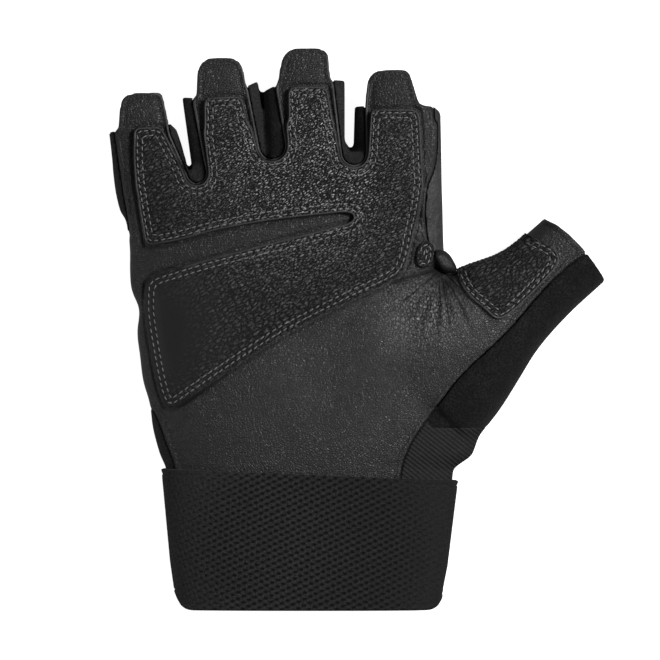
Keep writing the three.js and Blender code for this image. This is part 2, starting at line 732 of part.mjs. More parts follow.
// The palm leather covers the front up to its edge seams, less the crotches, with the tabs.
function leatherPlan(growth) {
  const edge = tallPrism(widened(palmPoints(LEATHER_EDGE), growth));
  const strips = FINGERS.map((finger) => {
    const width = finger.width * FINGER_WIDTH;
    const left = finger.frontLeft * width - growth;
    const right = finger.frontRight * width + growth;
    return tallPrism(fingerStrip(finger, left, right, -growth, growth));
  });
  const tabs = FINGERS.map((finger) => tallPrism(tabPlan(finger, growth)));
  return joined([joined([edge, ...strips]).subtract(crotchSlots(-growth, -growth)), ...tabs]);
}

function palmLeather() {
  return skinWithTabs.intersect(ABOVE_BACK).intersect(leatherPlan(0));
}

// The overlays lie on the leather

const padGround = handForm(SEAM, "even");

function overlay(thickness, plan, lowest) {
  return handForm(SEAM + thickness, "even")
    .subtract(padGround)
    .intersect(between(lowest, CEILING))
    .intersect(plan);
}

function palmPad() {
  const strips = FINGERS.map((finger) => {
    const width = finger.width * FINGER_WIDTH;
    const left = finger.padLeft * width;
    const right = finger.padRight * width;
    return tallPrism(fingerStrip(finger, left, right, PAD_MARGIN, PAD_CORNER));
  });
  const plan = joined([tallPrism(palmPoints(PAD_EDGE)), ...strips])
    .subtract(crotchSlots(PAD_MARGIN, PAD_FLARE))
    .subtract(tallPrism(palmPoints(SLOT_EDGE)));
  return overlay(PAD_THICKNESS, plan, PALM_HEIGHT * WAIST);
}

function thumbPatch() {
  const points = THUMB_PATCH_EDGE.map((row) =>
    thumbPoint(row.along * THUMB_LENGTH, row.across * THUMB_WIDTH),
  );
  return overlay(PAD_THICKNESS, tallPrism(points), THUMB_HEIGHT * WAIST + SEAM);
}

function crotchFold() {
  return overlay(FOLD_THICKNESS, tallPrism(palmPoints(CROTCH_FOLD_EDGE)), PALM_HEIGHT * WAIST);
}

function crotchTab() {
  const lug = new THREE.SphereGeometry(1, LUG_SIDES, LUG_ROWS);
  const { breadth, length, height } = CROTCH_TAB_SIZE;
  lug.scale(breadth / 2, length / 2, height / 2);
  lug.translate(palmX(CROTCH_TAB.across), palmY(CROTCH_TAB.along), CROTCH_TAB.height * PALM_HEIGHT);
  return solidFrom(lug)
    .subtract(padGround)
    .subtract(tallPrism(widened(palmPoints(CROTCH_FOLD_EDGE), SEAM)));
}

// The pieces that go round the sides lie outside the leather's edge

const sides = skin.intersect(ABOVE_BACK).subtract(leatherPlan(SEAM));

// All of the plan between two lines across the hand and two along it.
function zone(fromX, toX, fromY, toY) {
  return block(fromX, fromY, -REACH, toX, toY, CEILING);
}

// A zone along the fingers between the axes of two neighbours, or past the outer ones.
function betweenAxes(left, right, fromY) {
  const bottom = palmY(fromY);
  return tallPrism([
    new THREE.Vector2(left ? axisAt(left, bottom) : -FAR, bottom),
    new THREE.Vector2(right ? axisAt(right, bottom) : FAR, bottom),
    new THREE.Vector2(right ? axisAt(right, FAR) : FAR, FAR),
    new THREE.Vector2(left ? axisAt(left, FAR) : -FAR, FAR),
  ]);
}

// The thumb's own part of the plan, past its root line and above the gusset.
function thumbZone(growth) {
  const gussetY = palmY(GUSSET_TOP);
  const points = [
    new THREE.Vector2(palmX(THUMB_ROOT_LINE.crotchAcross), palmY(THUMB_ROOT_LINE.crotchAlong)),
    new THREE.Vector2(palmX(THUMB_ROOT_LINE.outerAcross), gussetY),
    new THREE.Vector2(FAR, gussetY),
    new THREE.Vector2(FAR, FAR),
  ];
  return tallPrism(widened(points, growth));
}

function thumbBack() {
  return skin.intersect(thumbZone(0)).subtract(leatherPlan(SEAM).intersect(ABOVE_BACK_EDGE));
}

function littleSideWall() {
  const littleFinger = FINGERS[0];
  return sides.intersect(betweenAxes(null, littleFinger, SIDE_WALL_FOOT));
}

function indexSideWall() {
  const indexFinger = FINGERS[FINGERS.length - 1];
  return sides.intersect(betweenAxes(indexFinger, null, SIDE_WALL_FOOT)).subtract(thumbZone(SEAM));
}

// The gusset and the ulnar strip fill the sides between the leather's lower edges and the back.
function cuffGusset() {
  return sides.intersect(zone(0, FAR, -FAR, palmY(GUSSET_TOP) - SEAM));
}

function ulnarStrip() {
  return sides.intersect(zone(-FAR, 0, -FAR, palmY(ULNAR_TOP)));
}

function backPanel() {
  return skin.intersect(BELOW_FRONT).subtract(thumbZone(SEAM));
}

function wristWrap() {
  return wristForm(WRAP_THICKNESS, 0).subtract(wristForm(0, REACH));
}

function wrapClosure() {
  const middle = -WRAP_LENGTH / 2;
  const plan = zone(
    palmX(WRIST_ACROSS) - CLOSURE_WIDTH / 2,
    palmX(WRIST_ACROSS) + CLOSURE_WIDTH / 2,
    middle - CLOSURE_LENGTH / 2,
    middle + CLOSURE_LENGTH / 2,
  );
  const inside = WRAP_THICKNESS + SEAM;
  return wristForm(inside + CLOSURE_THICKNESS, 0)
    .subtract(wristForm(inside, REACH))
    .intersect(plan)
    .intersect(between(-REACH, WRIST_BASE));
}

// The finished pieces with their colours

const COLOURS = {
  leather: { color: 0x2b2b2c, roughness: 0.6, metalness: 0 },
  overlay: { color: 0x1f1f20, roughness: 0.7, metalness: 0 },
  fabric: { color: 0x141415, roughness: 0.9, metalness: 0 },
  elastic: { color: 0x17171a, roughness: 0.95, metalness: 0 },
};

const glove = new THREE.Group();
glove.name = "weightlifting_glove";

// Triangles without the slivers that have closed up and the pairs that lie back to back.
function openTriangles(triangles) {
  const kept = new Map();
  for (const triangle of triangles) {
    if (new Set(triangle).size < triangle.length) continue;
    const key = [...triangle].sort((a, b) => a - b).join(" ");
    if (!kept.delete(key)) kept.set(key, triangle);
  }
  return [...kept.values()];
}

// An edge with more than one triangle on a side, or nothing.
function crowdedEdge(triangles) {
  const seen = new Set();
  for (const triangle of triangles) {
    for (let i = 0; i < triangle.length; i++) {
      const edge = [triangle[i], triangle[(i + 1) % triangle.length]];
      const key = edge.join(" ");
      if (seen.has(key)) return edge;
      seen.add(key);
    }
  }
  return null;
}

// A solid's surface with its vertices on the grid. Where that leaves two walls touching along a tiny
// edge, the edge closes up to a point.
function surfaceOf(solid) {
  const mesh = solid.getMesh();
  const snapped = mesh.vertProperties.map((value) => Math.round(value / GRID) * GRID);
  const rough = new THREE.BufferGeometry();
  rough.setAttribute("position", new THREE.Float32BufferAttribute(snapped, 3));
  rough.setIndex(new THREE.Uint32BufferAttribute(mesh.triVerts, 1));
  const merged = mergeVertices(rough, GRID / 2);
  const corners = merged.index.array;
  const all = [];
  for (let i = 0; i < corners.length; i += 3) all.push([corners[i], corners[i + 1], corners[i + 2]]);
  let triangles = openTriangles(all);
  for (let edge = crowdedEdge(triangles); edge; edge = crowdedEdge(triangles)) {
    const [kept, gone] = edge;
    triangles = openTriangles(triangles.map((row) => row.map((i) => (i === gone ? kept : i))));
  }
  merged.setIndex(triangles.flat());
  merged.computeVertexNormals();
  return merged;
}

function place(name, solid, colour) {
  const material = new THREE.MeshStandardMaterial(COLOURS[colour]);
  const piece = new THREE.Mesh(surfaceOf(solid), material);
  piece.name = name;
  glove.add(piece);
}

place("palm_leather", palmLeather(), "leather");
place("palm_pad", palmPad(), "overlay");
place("thumb_patch", thumbPatch(), "overlay");
CROTCHES.forEach((crotch, i) => {
  const gap = betweenAxes(FINGERS[i], FINGERS[i + 1], FOURCHETTE_FOOT);
  place(`fourchette_${crotch.name}`, sides.intersect(gap), "fabric");
});
place("little_side_wall", littleSideWall(), "fabric");
place("index_side_wall", indexSideWall(), "leather");
place("crotch_fold", crotchFold(), "overlay");
place("crotch_tab", crotchTab(), "leather");
place("thumb_back", thumbBack(), "fabric");
place("cuff_gusset", cuffGusset(), "elastic");
place("ulnar_strip", ulnarStrip(), "fabric");
place("back_panel", backPanel(), "fabric");
place("wrist_wrap", wristWrap(), "elastic");
place("wrap_closure", wrapClosure(), "elastic");

// The glove's origin is under the middle of its footprint
const footprint = new THREE.Box3().setFromObject(glove);
const centre = footprint.getCenter(new THREE.Vector3());
glove.position.set(-centre.x, -centre.y, -footprint.min.z);

export default glove;
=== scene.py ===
# A fingerless weightlifting glove for the right hand, lying palm up on a pale floor.
# Forms are made in millimetres in the palm's own frame, with the wrap's upper edge on y = 0, and every
# finished mesh is then moved to the model's frame in metres.
import math

import bpy
import numpy as np
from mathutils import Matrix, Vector
from mathutils.bvhtree import BVHTree


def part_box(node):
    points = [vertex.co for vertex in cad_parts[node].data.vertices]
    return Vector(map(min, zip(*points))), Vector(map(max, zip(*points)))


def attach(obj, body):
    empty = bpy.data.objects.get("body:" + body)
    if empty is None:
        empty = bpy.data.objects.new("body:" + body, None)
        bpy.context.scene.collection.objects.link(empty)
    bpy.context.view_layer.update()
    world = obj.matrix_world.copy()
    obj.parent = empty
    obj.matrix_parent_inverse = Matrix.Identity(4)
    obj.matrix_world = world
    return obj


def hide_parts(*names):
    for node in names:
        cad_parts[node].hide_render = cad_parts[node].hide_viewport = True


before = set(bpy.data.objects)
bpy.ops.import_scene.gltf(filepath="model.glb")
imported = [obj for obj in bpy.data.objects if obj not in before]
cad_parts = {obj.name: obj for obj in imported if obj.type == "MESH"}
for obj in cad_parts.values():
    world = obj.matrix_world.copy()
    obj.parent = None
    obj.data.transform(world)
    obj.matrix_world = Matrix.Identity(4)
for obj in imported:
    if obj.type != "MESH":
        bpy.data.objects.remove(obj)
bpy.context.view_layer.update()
rng = np.random.default_rng(7)

# Driving dimensions in millimetres, as in the model
PALM_WIDTH = 102
PALM_LENGTH = 96
PALM_HEIGHT = 30
FINGER_LENGTH = 31
FINGER_WIDTH = 24.8
FINGER_HEIGHT = 17
TAB_LENGTH = 11.4
THUMB_LENGTH = 64
THUMB_WIDTH = 25.4
THUMB_HEIGHT = 20
THUMB_ANGLE = math.radians(46)
WRIST_WIDTH = 92
WRIST_HEIGHT = 29
WRAP_LENGTH = 42.5
WRAP_THICKNESS = 1.6
WRAP_TAPER = 0.9
WRAP_SLANT = 0.04
CUFF_DEPTH = 9
CLOSURE_THICKNESS = 1.5
WALL = 1.6
PAD_THICKNESS = 1.6
FOLD_THICKNESS = 1.4
PATCH_THICKNESS = 0.8
PAD_MARGIN = 0.9
PAD_FLARE = 2.4
SEAM = 0.3
BACK_SEAM_AT_WRIST = 12
BACK_SEAM_AT_KNUCKLES = 8.5
REACH = 14
SEWN_GAP = 0.12
FRONT_ROUNDNESS = 2.5
BACK_ROUNDNESS = 3.6
WAIST = 0.42
MM = 0.001


# A table with named columns.
def table(columns, rows):
    names = columns.split()
    return [dict(zip(names, row)) for row in rows]


# The same sections as the model's: shares of the palm's length, width and height.
PALM_SECTIONS = table(
    "along left right base top slant",
    [
        (0.065, -0.422, 0.522, 0.08, 0.93, 0),
        (0.113, -0.435, 0.537, 0.045, 0.96, 0),
        (0.152, -0.444, 0.55, 0.015, 0.975, 0),
        (0.229, -0.453, 0.541, -0.01, 0.99, 0),
        (0.306, -0.474, 0.517, -0.012, 1.0, 0),
        (0.384, -0.483, 0.492, -0.012, 1.0, 0),
        (0.461, -0.492, 0.474, -0.012, 0.985, 0),
        (0.539, -0.486, 0.456, -0.012, 0.965, 0),
        (0.597, -0.509, 0.447, -0.012, 0.94, 0),
        (0.655, -0.514, 0.442, -0.012, 0.915, 0),
        (0.726, -0.514, 0.435, -0.012, 0.885, 0),
        (0.81, -0.522, 0.432, -0.012, 0.865, 0.02),
        (0.9, -0.537, 0.429, -0.01, 0.84, 0.05),
        (0.965, -0.541, 0.42, 0.01, 0.79, 0.07),
        (1.022, -0.517, 0.395, 0.04, 0.7, 0.08),
    ],
)
WRIST_ACROSS = 0.03
KNUCKLE_LINE = 0.935

# Fingers, in shares as in the model
FINGERS = table(
    "across lean length width spread height tab_length front_left front_right",
    [
        (-0.445, 0.165, 0.57, 0.875, 0.08, 0.86, 0.96, -0.43, 0.5),
        (-0.214, 0.1, 0.92, 1.0, 0.04, 0.96, 0.95, -0.5, 0.5),
        (0.022, 0.03, 1, 1.03, 0.04, 1, 0.98, -0.5, 0.5),
        (0.2964, 0.01, 0.77, 1.08, 0.01, 1.03, 1.04, -0.5, 0.43),
    ],
)
FINGER_SECTIONS = table(
    "along spread base top",
    [
        (-0.4, 0.5, 0.02, 1.3),
        (0, 1, 0.02, 1.36),
        (0.3, 0.8, 0.04, 1.27),
        (0.65, 0.3, 0.07, 1.13),
        (1, 0, 0.1, 1),
    ],
)
STRIP_START = 0.35
TAB_DROP = 0.12
RUN_ON = 5
CROTCHES = table(
    "along radius flare foot_shift top_shift",
    [(0.942, 0.115, 0.24, 0.12, -0.065), (1.02, 0.16, 0.17, 0.09, 0), (1.0, 0.145, 0.19, 0.04, 0)],
)
THUMB_SECTIONS = table(
    "along crotch outer base top",
    [
        (0, -0.91, 0.73, 0.0, 1.42),
        (0.2, -0.94, 0.685, 0.0, 1.45),
        (0.364, -0.935, 0.6, 0.0, 1.42),
        (0.524, -0.865, 0.512, 0.01, 1.33),
        (0.757, -0.6, 0.48, 0.06, 1.2),
        (1, -0.525, 0.515, 0.14, 1.1),
    ],
)
THUMB_ACROSS = 0.395
THUMB_ALONG = 0.242
MOUNDS = table(
    "across along reach rise",
    [
        (0.38, 0.52, 0.15, 0.055),
        (-0.3, 0.28, 0.18, 0.02),
        (0.02, 0.42, 0.2, -0.05),
        (-0.4, 0.86, 0.09, 0.025),
        (-0.2, 0.88, 0.09, 0.03),
        (0.04, 0.9, 0.09, 0.03),
        (0.3, 0.88, 0.1, 0.025),
    ],
)
FOLDS = table(
    "from_across from_along to_across to_along breadth rise",
    [
        (0.44, 0.65, 0.36, 0.48, 0.022, 0.03),
        (0.38, 0.64, 0.26, 0.52, 0.022, 0.028),
        (0.31, 0.61, 0.12, 0.47, 0.02, -0.025),
        (0.39, 0.9, 0.41, 0.78, 0.02, -0.03),
        (-0.5, 0.6, -0.2, 0.66, 0.03, -0.025),
    ],
)

# Plan outlines, as shares of the palm's width and length
LEATHER_EDGE = [
    (-0.565, 1.11), (-0.547, 0.985), (-0.532, 0.885), (-0.519, 0.81), (-0.516, 0.74), (-0.62, 0.7),
    (-0.62, 0.24),
    (-0.452, 0.222), (-0.432, 0.19), (-0.403, 0.1), (-0.372, 0.02), (-0.366, -0.2), (0.298, -0.2),
    (0.3, -0.02), (0.316, 0.06), (0.348, 0.126), (0.388, 0.185), (0.43, 0.245), (0.485, 0.322),
    (0.57, 0.405), (0.632, 0.466), (0.727, 0.587), (0.8, 0.664), (0.86, 0.712), (0.98, 0.76),
    (0.76, 0.92), (0.56, 0.75), (0.468, 0.674), (0.41, 0.7), (0.383, 0.76), (0.38, 0.92),
    (0.408, 0.98), (0.417, 1.05), (0.42, 1.19),
]
PAD_EDGE = [
    (-0.503, 1.1), (-0.505, 1.02), (-0.496, 0.923), (-0.471, 0.765), (-0.465, 0.742), (-0.465, 0.629),
    (-0.471, 0.54), (-0.459, 0.445), (-0.432, 0.29), (-0.412, 0.228), (-0.39, 0.212), (-0.336, 0.252),
    (-0.208, 0.345), (-0.08, 0.434), (-0.026, 0.468), (0.091, 0.532), (0.187, 0.582), (0.283, 0.629),
    (0.316, 0.658), (0.334, 0.719), (0.346, 0.787), (0.363, 0.855), (0.372, 0.923), (0.368, 1.097),
    (0.36, 1.17),
]
SLOT_EDGE = [
    (-0.56, 0.738), (-0.465, 0.738), (-0.356, 0.758), (-0.274, 0.785), (-0.112, 0.819), (0.09, 0.843),
    (0.143, 0.848), (0.164, 0.842), (0.168, 0.828), (0.155, 0.813), (0.091, 0.795), (-0.144, 0.732),
    (-0.274, 0.697), (-0.401, 0.656), (-0.45, 0.64), (-0.465, 0.615), (-0.56, 0.615),
]
# Shares of the thumb's length and width
THUMB_PATCH_EDGE = [
    (0.62, -1.1), (0.536, -0.88), (0.497, -0.68), (0.49, -0.47), (0.5, -0.25), (0.497, -0.1),
    (0.535, -0.05), (0.6, -0.018), (0.81, -0.008), (0.9, -0.018), (0.937, -0.09), (0.948, -0.23),
    (0.9, -0.56), (0.88, -1.1),
]
THUMB_ROOT_LINE = {"crotch": (0.44, 0.664), "outer_across": 0.38}
GUSSET_TOP = 0.152
ULNAR_TOP = 0.3
SIDE_WALL_FOOT = 0.66
FOURCHETTE_FOOT = 0.922

# Where the finger tubes end, from the little finger's outer side to the index finger's, in millimetres
FINGER_ENDS = [
    (-63, 105.3), (-59.4, 106.1), (-56.7, 106.9), (-40.7, 109.3), (-38.3, 107.1), (-36.7, 102.3),
    (-34.6, 94.2), (-33.3, 94.2), (-34.3, 101.5), (-36.5, 117.1), (-32.9, 116.8), (-16.3, 120.5),
    (-13.3, 122), (-12.9, 121.2), (-11.8, 113), (-10.9, 113), (-11.2, 118.9), (-7.4, 120.8),
    (-5.9, 122.8), (9.3, 122.4), (13.9, 122.3), (13.9, 103.5), (16, 100.6), (16.6, 101),
    (17, 114.2), (20.2, 114.3),
    (37.6, 114.8), (41.3, 114.3), (43.3, 112.7), (44.2, 110.2), (44, 106), (60, 102), (60, 136),
    (-63, 136),
]
FINGER_GAPS = [
    [(-38.3, 107.1), (-36.7, 102.3), (-34.6, 94.2), (-33.3, 94.2), (-34.3, 101.5), (-36.5, 117.1),
     (-36.5, 130), (-38.3, 130)],
    [(-12.9, 121.2), (-11.8, 113), (-10.9, 113), (-11.2, 118.9), (-11.3, 130), (-12.9, 130)],
    [(13.9, 122.3), (13.9, 103.5), (16, 100.6), (16.6, 101), (17, 114.2), (17, 130), (13.9, 130)],
]
THUMB_END = [
    (60, 97), (76.3, 79.2), (79.8, 77.4), (83.6, 74.3), (87, 70.9), (90.7, 66.2), (93.9, 61.6),
    (97.6, 54), (100.5, 54), (100.5, 97),
]

# The pull tabs and the overlay's ends on the fingers: corners with a radius, in millimetres
TABS = [
    table("x y corner", [(-56.4, 102, 0), (-40, 102, 0), (-40.6, 108.8, 0.6), (-42.7, 118.7, 2),
                         (-55.4, 118.4, 4.8), (-56.4, 106.8, 0.6)]),
    table("x y corner", [(-32.4, 112, 0), (-16.5, 112, 0), (-16.5, 120, 0.6), (-18.1, 129.5, 5.6),
                         (-31.7, 129.5, 7.6), (-32.2, 117, 0.4)]),
    table("x y corner", [(-7.1, 116, 0), (9.5, 116, 0), (9.5, 122, 0.4), (8.8, 132.3, 3.8),
                         (-5.2, 132.3, 6), (-7.1, 120.4, 1)]),
    table("x y corner", [(20.2, 110, 0), (37.2, 110, 0), (37.2, 114.3, 0.6), (33.7, 125.8, 3.6),
                         (20.9, 125.6, 6.4), (20.2, 113.8, 0.4)]),
]
PAD_TOPS = [
    table("x y corner", [(-50.7, 88.4, 0), (-30, 88.4, 0), (-40.6, 108, 2.6), (-51.5, 107.6, 1.6)]),
    table("x y corner", [(-29.1, 88.4, 0), (-11.8, 88.4, 0), (-17.9, 117.3, 1.5), (-29.6, 116.8, 1.5)]),
    table("x y corner", [(-3.1, 88.4, 0), (11.8, 88.4, 0), (9.1, 120.3, 2.1), (-3.6, 120.3, 2)]),
    table("x y corner", [(20.5, 88.4, 0), (38.2, 88.4, 0), (37, 113.3, 2.8), (20.6, 113.2, 1.6)]),
]
CROTCH_FOLD_EDGE = [
    (0.352, 0.67), (0.352, 0.72), (0.368, 0.753), (0.392, 0.757), (0.41, 0.735), (0.405, 0.7),
    (0.4, 0.67),
]
# The lug's middle as shares of the palm, and its size in millimetres
CROTCH_TAB = {"across": 0.438, "along": 0.69, "height": 0.55, "length": 7.4, "breadth": 6, "tallness": 9}

# Fineness
ROW_PITCH = 1.2
FORM_VOXEL = 0.8
PLAN_STEP = 0.3
OUTLINE_PITCH = 0.7
PALM_POINTS = (110, 70)
LIMB_POINTS = (54, 34)
CUFF_ROWS = 6
FOOT_STEPS = 18
CORNER_STEPS = 7
SHORTEST_LOOP = 12
FEWEST_POINTS = 8

# Places on the palm
KNUCKLE_Y = KNUCKLE_LINE * PALM_LENGTH
THUMB_AXIS = np.array([math.cos(THUMB_ANGLE), math.sin(THUMB_ANGLE)])
THUMB_SIDE = np.array([THUMB_AXIS[1], -THUMB_AXIS[0]])
THUMB_ROOT = np.array([THUMB_ACROSS * PALM_WIDTH, THUMB_ALONG * PALM_LENGTH])
CEILING = PALM_HEIGHT + REACH
FAR = PALM_WIDTH + PALM_LENGTH + THUMB_LENGTH
WRIST_BASE = CLOSURE_THICKNESS + SEAM + WRAP_THICKNESS
WRIST_TOP = WRIST_HEIGHT - WRAP_THICKNESS
CUFF_RISE = WRAP_SLANT * WRIST_WIDTH / 2 + SEAM

# The palm frame's place in the model's frame, from the middle of the closing strip
closure_low, closure_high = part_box("wrap_closure")
OFFSET = np.array(
    [
        (closure_low.x + closure_high.x) / 2 / MM - WRIST_ACROSS * PALM_WIDTH,
        (closure_low.y + closure_high.y) / 2 / MM + WRAP_LENGTH / 2,
        0,
    ]
)


def palm_points(shares):
    return np.array(shares) * [PALM_WIDTH, PALM_LENGTH]


def thumb_points(shares):
    spots = np.array(shares) * [THUMB_LENGTH, THUMB_WIDTH]
    return THUMB_ROOT + spots[:, :1] * THUMB_AXIS + spots[:, 1:] * THUMB_SIDE


# Numbers between the rows of a table, on smooth curves through them.
def eased(table_rows, name, where):
    xs = np.array([row["along"] for row in table_rows])
    ys = np.array([row[name] for row in table_rows], float)
    slopes = np.gradient(ys, xs)
    i = np.clip(np.searchsorted(xs, where) - 1, 0, len(xs) - 2)
    width = xs[i + 1] - xs[i]
    t = (where - xs[i]) / width
    start = (1 + 2 * t) * (1 - t) ** 2 * ys[i] + t * (1 - t) ** 2 * width * slopes[i]
    end = t**2 * (3 - 2 * t) * ys[i + 1] + t**2 * (t - 1) * width * slopes[i + 1]
    return start + end


def finer_rows(table_rows, length):
    start = table_rows[0]["along"]
    end = table_rows[-1]["along"]
    count = int((end - start) * length / ROW_PITCH) + 1
    where = np.linspace(start, end, count)
    columns = {name: eased(table_rows, name, where) for name in table_rows[0] if name != "along"}
    columns["along"] = where
    return [{name: values[i] for name, values in columns.items()} for i in range(count)]


# A bell curve, which is 1 at no distance.
def bell(distance, breadth):
    return np.exp(-((distance / breadth) ** 2))


def segment_distance(x, y, start, end):
    run = end - start
    share = np.clip(((x - start[0]) * run[0] + (y - start[1]) * run[1]) / (run @ run), 0, 1)
    return np.hypot(x - start[0] - share * run[0], y - start[1] - share * run[1])


# The relief of the front of the hand
def relief(x, y):
    rise = np.zeros_like(x)
    for mound in MOUNDS:
        distance = np.hypot(x - mound["across"] * PALM_WIDTH, y - mound["along"] * PALM_LENGTH)
        rise += mound["rise"] * PALM_HEIGHT * bell(distance, mound["reach"] * PALM_WIDTH)
    for fold in FOLDS:
        start = np.array([fold["from_across"] * PALM_WIDTH, fold["from_along"] * PALM_LENGTH])
        end = np.array([fold["to_across"] * PALM_WIDTH, fold["to_along"] * PALM_LENGTH])
        distance = segment_distance(x, y, start, end)
        rise += fold["rise"] * PALM_HEIGHT * bell(distance, fold["breadth"] * PALM_WIDTH)
    return rise


# Angles round a section, closer together over its front.
def section_angles(front, back):
    first = np.linspace(0, math.pi, front, endpoint=False)
    second = np.linspace(math.pi, 2 * math.pi, back, endpoint=False)
    return np.concatenate([first, second])


PALM_ANGLES = section_angles(*PALM_POINTS)
LIMB_ANGLES = section_angles(*LIMB_POINTS)


# A ring of points round a flattened tube.
def ring(angles, origin, side, start, end, base, top):
    cos = np.cos(angles)
    sin = np.sin(angles)
    power = np.where(sin > 0, 2 / FRONT_ROUNDNESS, 2 / BACK_ROUNDNESS)
    across = (start + end) / 2 + (end - start) / 2 * np.sign(cos) * np.abs(cos) ** power
    x = origin[0] + side[0] * across
    y = origin[1] + side[1] * across
    waist = base + (top - base) * WAIST
    lift = np.abs(sin) ** power
    z = np.where(sin > 0, waist + (top - waist + relief(x, y)) * lift, waist - (waist - base) * lift)
    return np.stack([x, y, z], 1)


# Meshes

def mesh_object(name, points, faces):
    mesh = bpy.data.meshes.new(name)
    mesh.from_pydata([tuple(p) for p in np.asarray(points, float)], [], faces)
    mesh.update()
    piece = bpy.data.objects.new(name, mesh)
    bpy.context.scene.collection.objects.link(piece)
    return piece


def vertex_values(piece, name):
    flat = np.empty(len(piece.data.vertices) * 3)
    piece.data.vertices.foreach_get(name, flat)
    return flat.reshape(-1, 3)


def points_of(piece):
    return vertex_values(piece, "co")


def normals_of(piece):
    return vertex_values(piece, "normal")


def set_points(piece, points):
    piece.data.vertices.foreach_set("co", np.ascontiguousarray(points).ravel())
    piece.data.update()


# Four-sided faces between two rings of points that start at two numbers.
def band(a, b, count):
    return [(a + i, b + i, b + (i + 1) % count, a + (i + 1) % count) for i in range(count)]


# The same faces, turned the other way.
def wall(a, b, count):
    return [(a + i, a + (i + 1) % count, b + (i + 1) % count, b + i) for i in range(count)]


# Points and faces of a closed body through rings, with a fan at each end.
def loft(rings, first=0):
    count = len(rings[0])
    points = np.concatenate(list(rings) + [rings[0].mean(0)[None], rings[-1].mean(0)[None]])
    faces = []
    for row in range(len(rings) - 1):
        faces += band(first + row * count, first + (row + 1) * count, count)
    hub = first + len(rings) * count
    last = first + (len(rings) - 1) * count
    for i in range(count):
        n = (i + 1) % count
        faces.append((hub, first + i, first + n))
        faces.append((hub + 1, last + n, last + i))
    return points, faces


def lofts_object(name, bodies):
    points = []
    faces = []
    for rings in bodies:
        body_points, body_faces = loft(rings, sum(len(p) for p in points))
        points.append(body_points)
        faces += body_faces
    return mesh_object(name, np.concatenate(points), faces)


# A new mesh from the object with its modifiers applied.
def settle(piece):
    graph = bpy.context.evaluated_depsgraph_get()
    made = bpy.data.meshes.new_from_object(piece.evaluated_get(graph))
    old = piece.data
    piece.modifiers.clear()
    piece.data = made
    bpy.data.meshes.remove(old)
    return piece


def remesh(piece, voxel):
    modifier = piece.modifiers.new("even", "REMESH")
    modifier.mode = "VOXEL"
    modifier.voxel_size = voxel
    return settle(piece)


def cut(piece, other, operation):
    modifier = piece.modifiers.new("cut", "BOOLEAN")
    modifier.operation = operation
    modifier.solver = "MANIFOLD"
    modifier.object = other
    return settle(piece)


def remove(*things):
    for thing in things:
        mesh = thing.data
        bpy.data.objects.remove(thing)
        bpy.data.meshes.remove(mesh)


def copy_of(piece, name):
    twin = piece.copy()
    twin.data = piece.data.copy()
    twin.name = name
    bpy.context.scene.collection.objects.link(twin)
    return twin


# Rounds a mesh by moving each vertex towards the middle of its neighbours.
def rounded(piece, rounds, strength=0.5):
    edges = np.empty(len(piece.data.edges) * 2, int)
    piece.data.edges.foreach_get("vertices", edges)
    a, b = edges.reshape(-1, 2).T
    points = points_of(piece)
    count = len(points)
    weight = np.bincount(a, minlength=count) + np.bincount(b, minlength=count)
    for _ in range(rounds):
        middle = np.empty_like(points)
        for axis in range(3):
            column = points[:, axis]
            total = np.bincount(a, column[b], count) + np.bincount(b, column[a], count)
            middle[:, axis] = total / np.maximum(weight, 1)
        points += strength * (middle - points)
    set_points(piece, points)
    return piece


WEB_PLACE = (36, 42, 22)
WEB_REACH = 15
WEB_FADE = 1.6
WEB_STRENGTH = 0.5
WEB_ROUNDS = 90
FORM_GROWTH = 0.3


# Fills the valley between the palm and the ball of the thumb.
def webbed(piece):
    away = np.linalg.norm(points_of(piece) - WEB_PLACE, axis=1)
    mask = WEB_STRENGTH * np.clip(WEB_FADE - away / WEB_REACH, 0, 1)
    return rounded(piece, WEB_ROUNDS, mask[:, None])


# Plan outlines as fields of distance, negative inside
PLAN_ACROSS = (-64, 102)
PLAN_ALONG = (-62, 138)
PLAN_X = np.arange(*PLAN_ACROSS, PLAN_STEP)
PLAN_Y = np.arange(*PLAN_ALONG, PLAN_STEP)
FIELD_REACH = 8


def field(outline):
    distance = np.full((len(PLAN_Y), len(PLAN_X)), float(FIELD_REACH))
    inside = np.zeros(distance.shape, bool)
    outline = np.asarray(outline, float)
    for start, end in zip(outline, np.roll(outline, -1, 0)):
        low = np.minimum(start, end) - FIELD_REACH
        high = np.maximum(start, end) + FIELD_REACH
        i = slice(*np.searchsorted(PLAN_X, [low[0], high[0]]))
        j = slice(*np.searchsorted(PLAN_Y, [low[1], high[1]]))
        near = segment_distance(PLAN_X[None, i], PLAN_Y[j, None], start, end)
        distance[j, i] = np.minimum(distance[j, i], near)
        if start[1] != end[1]:
            rows = slice(*np.searchsorted(PLAN_Y, sorted([start[1], end[1]])))
            crossing = start[0] + (PLAN_Y[rows] - start[1]) * (end[0] - start[0]) / (end[1] - start[1])
            inside[rows] ^= PLAN_X[None, :] < crossing[:, None]
    return np.where(inside, -distance, distance)


def union(*fields):
    return np.minimum.reduce(fields)


def minus(whole, *fields):
    return np.maximum.reduce([whole] + [-f for f in fields])


# A field's value at points of the plan.
def sample(values, points):
    x = np.clip((points[:, 0] - PLAN_X[0]) / PLAN_STEP, 0, len(PLAN_X) - 1.001)
    y = np.clip((points[:, 1] - PLAN_Y[0]) / PLAN_STEP, 0, len(PLAN_Y) - 1.001)
    i = x.astype(int)
    j = y.astype(int)
    u = x - i
    v = y - j
    low = values[j, i] * (1 - u) + values[j, i + 1] * u
    high = values[j + 1, i] * (1 - u) + values[j + 1, i + 1] * u
    return low * (1 - v) + high * v


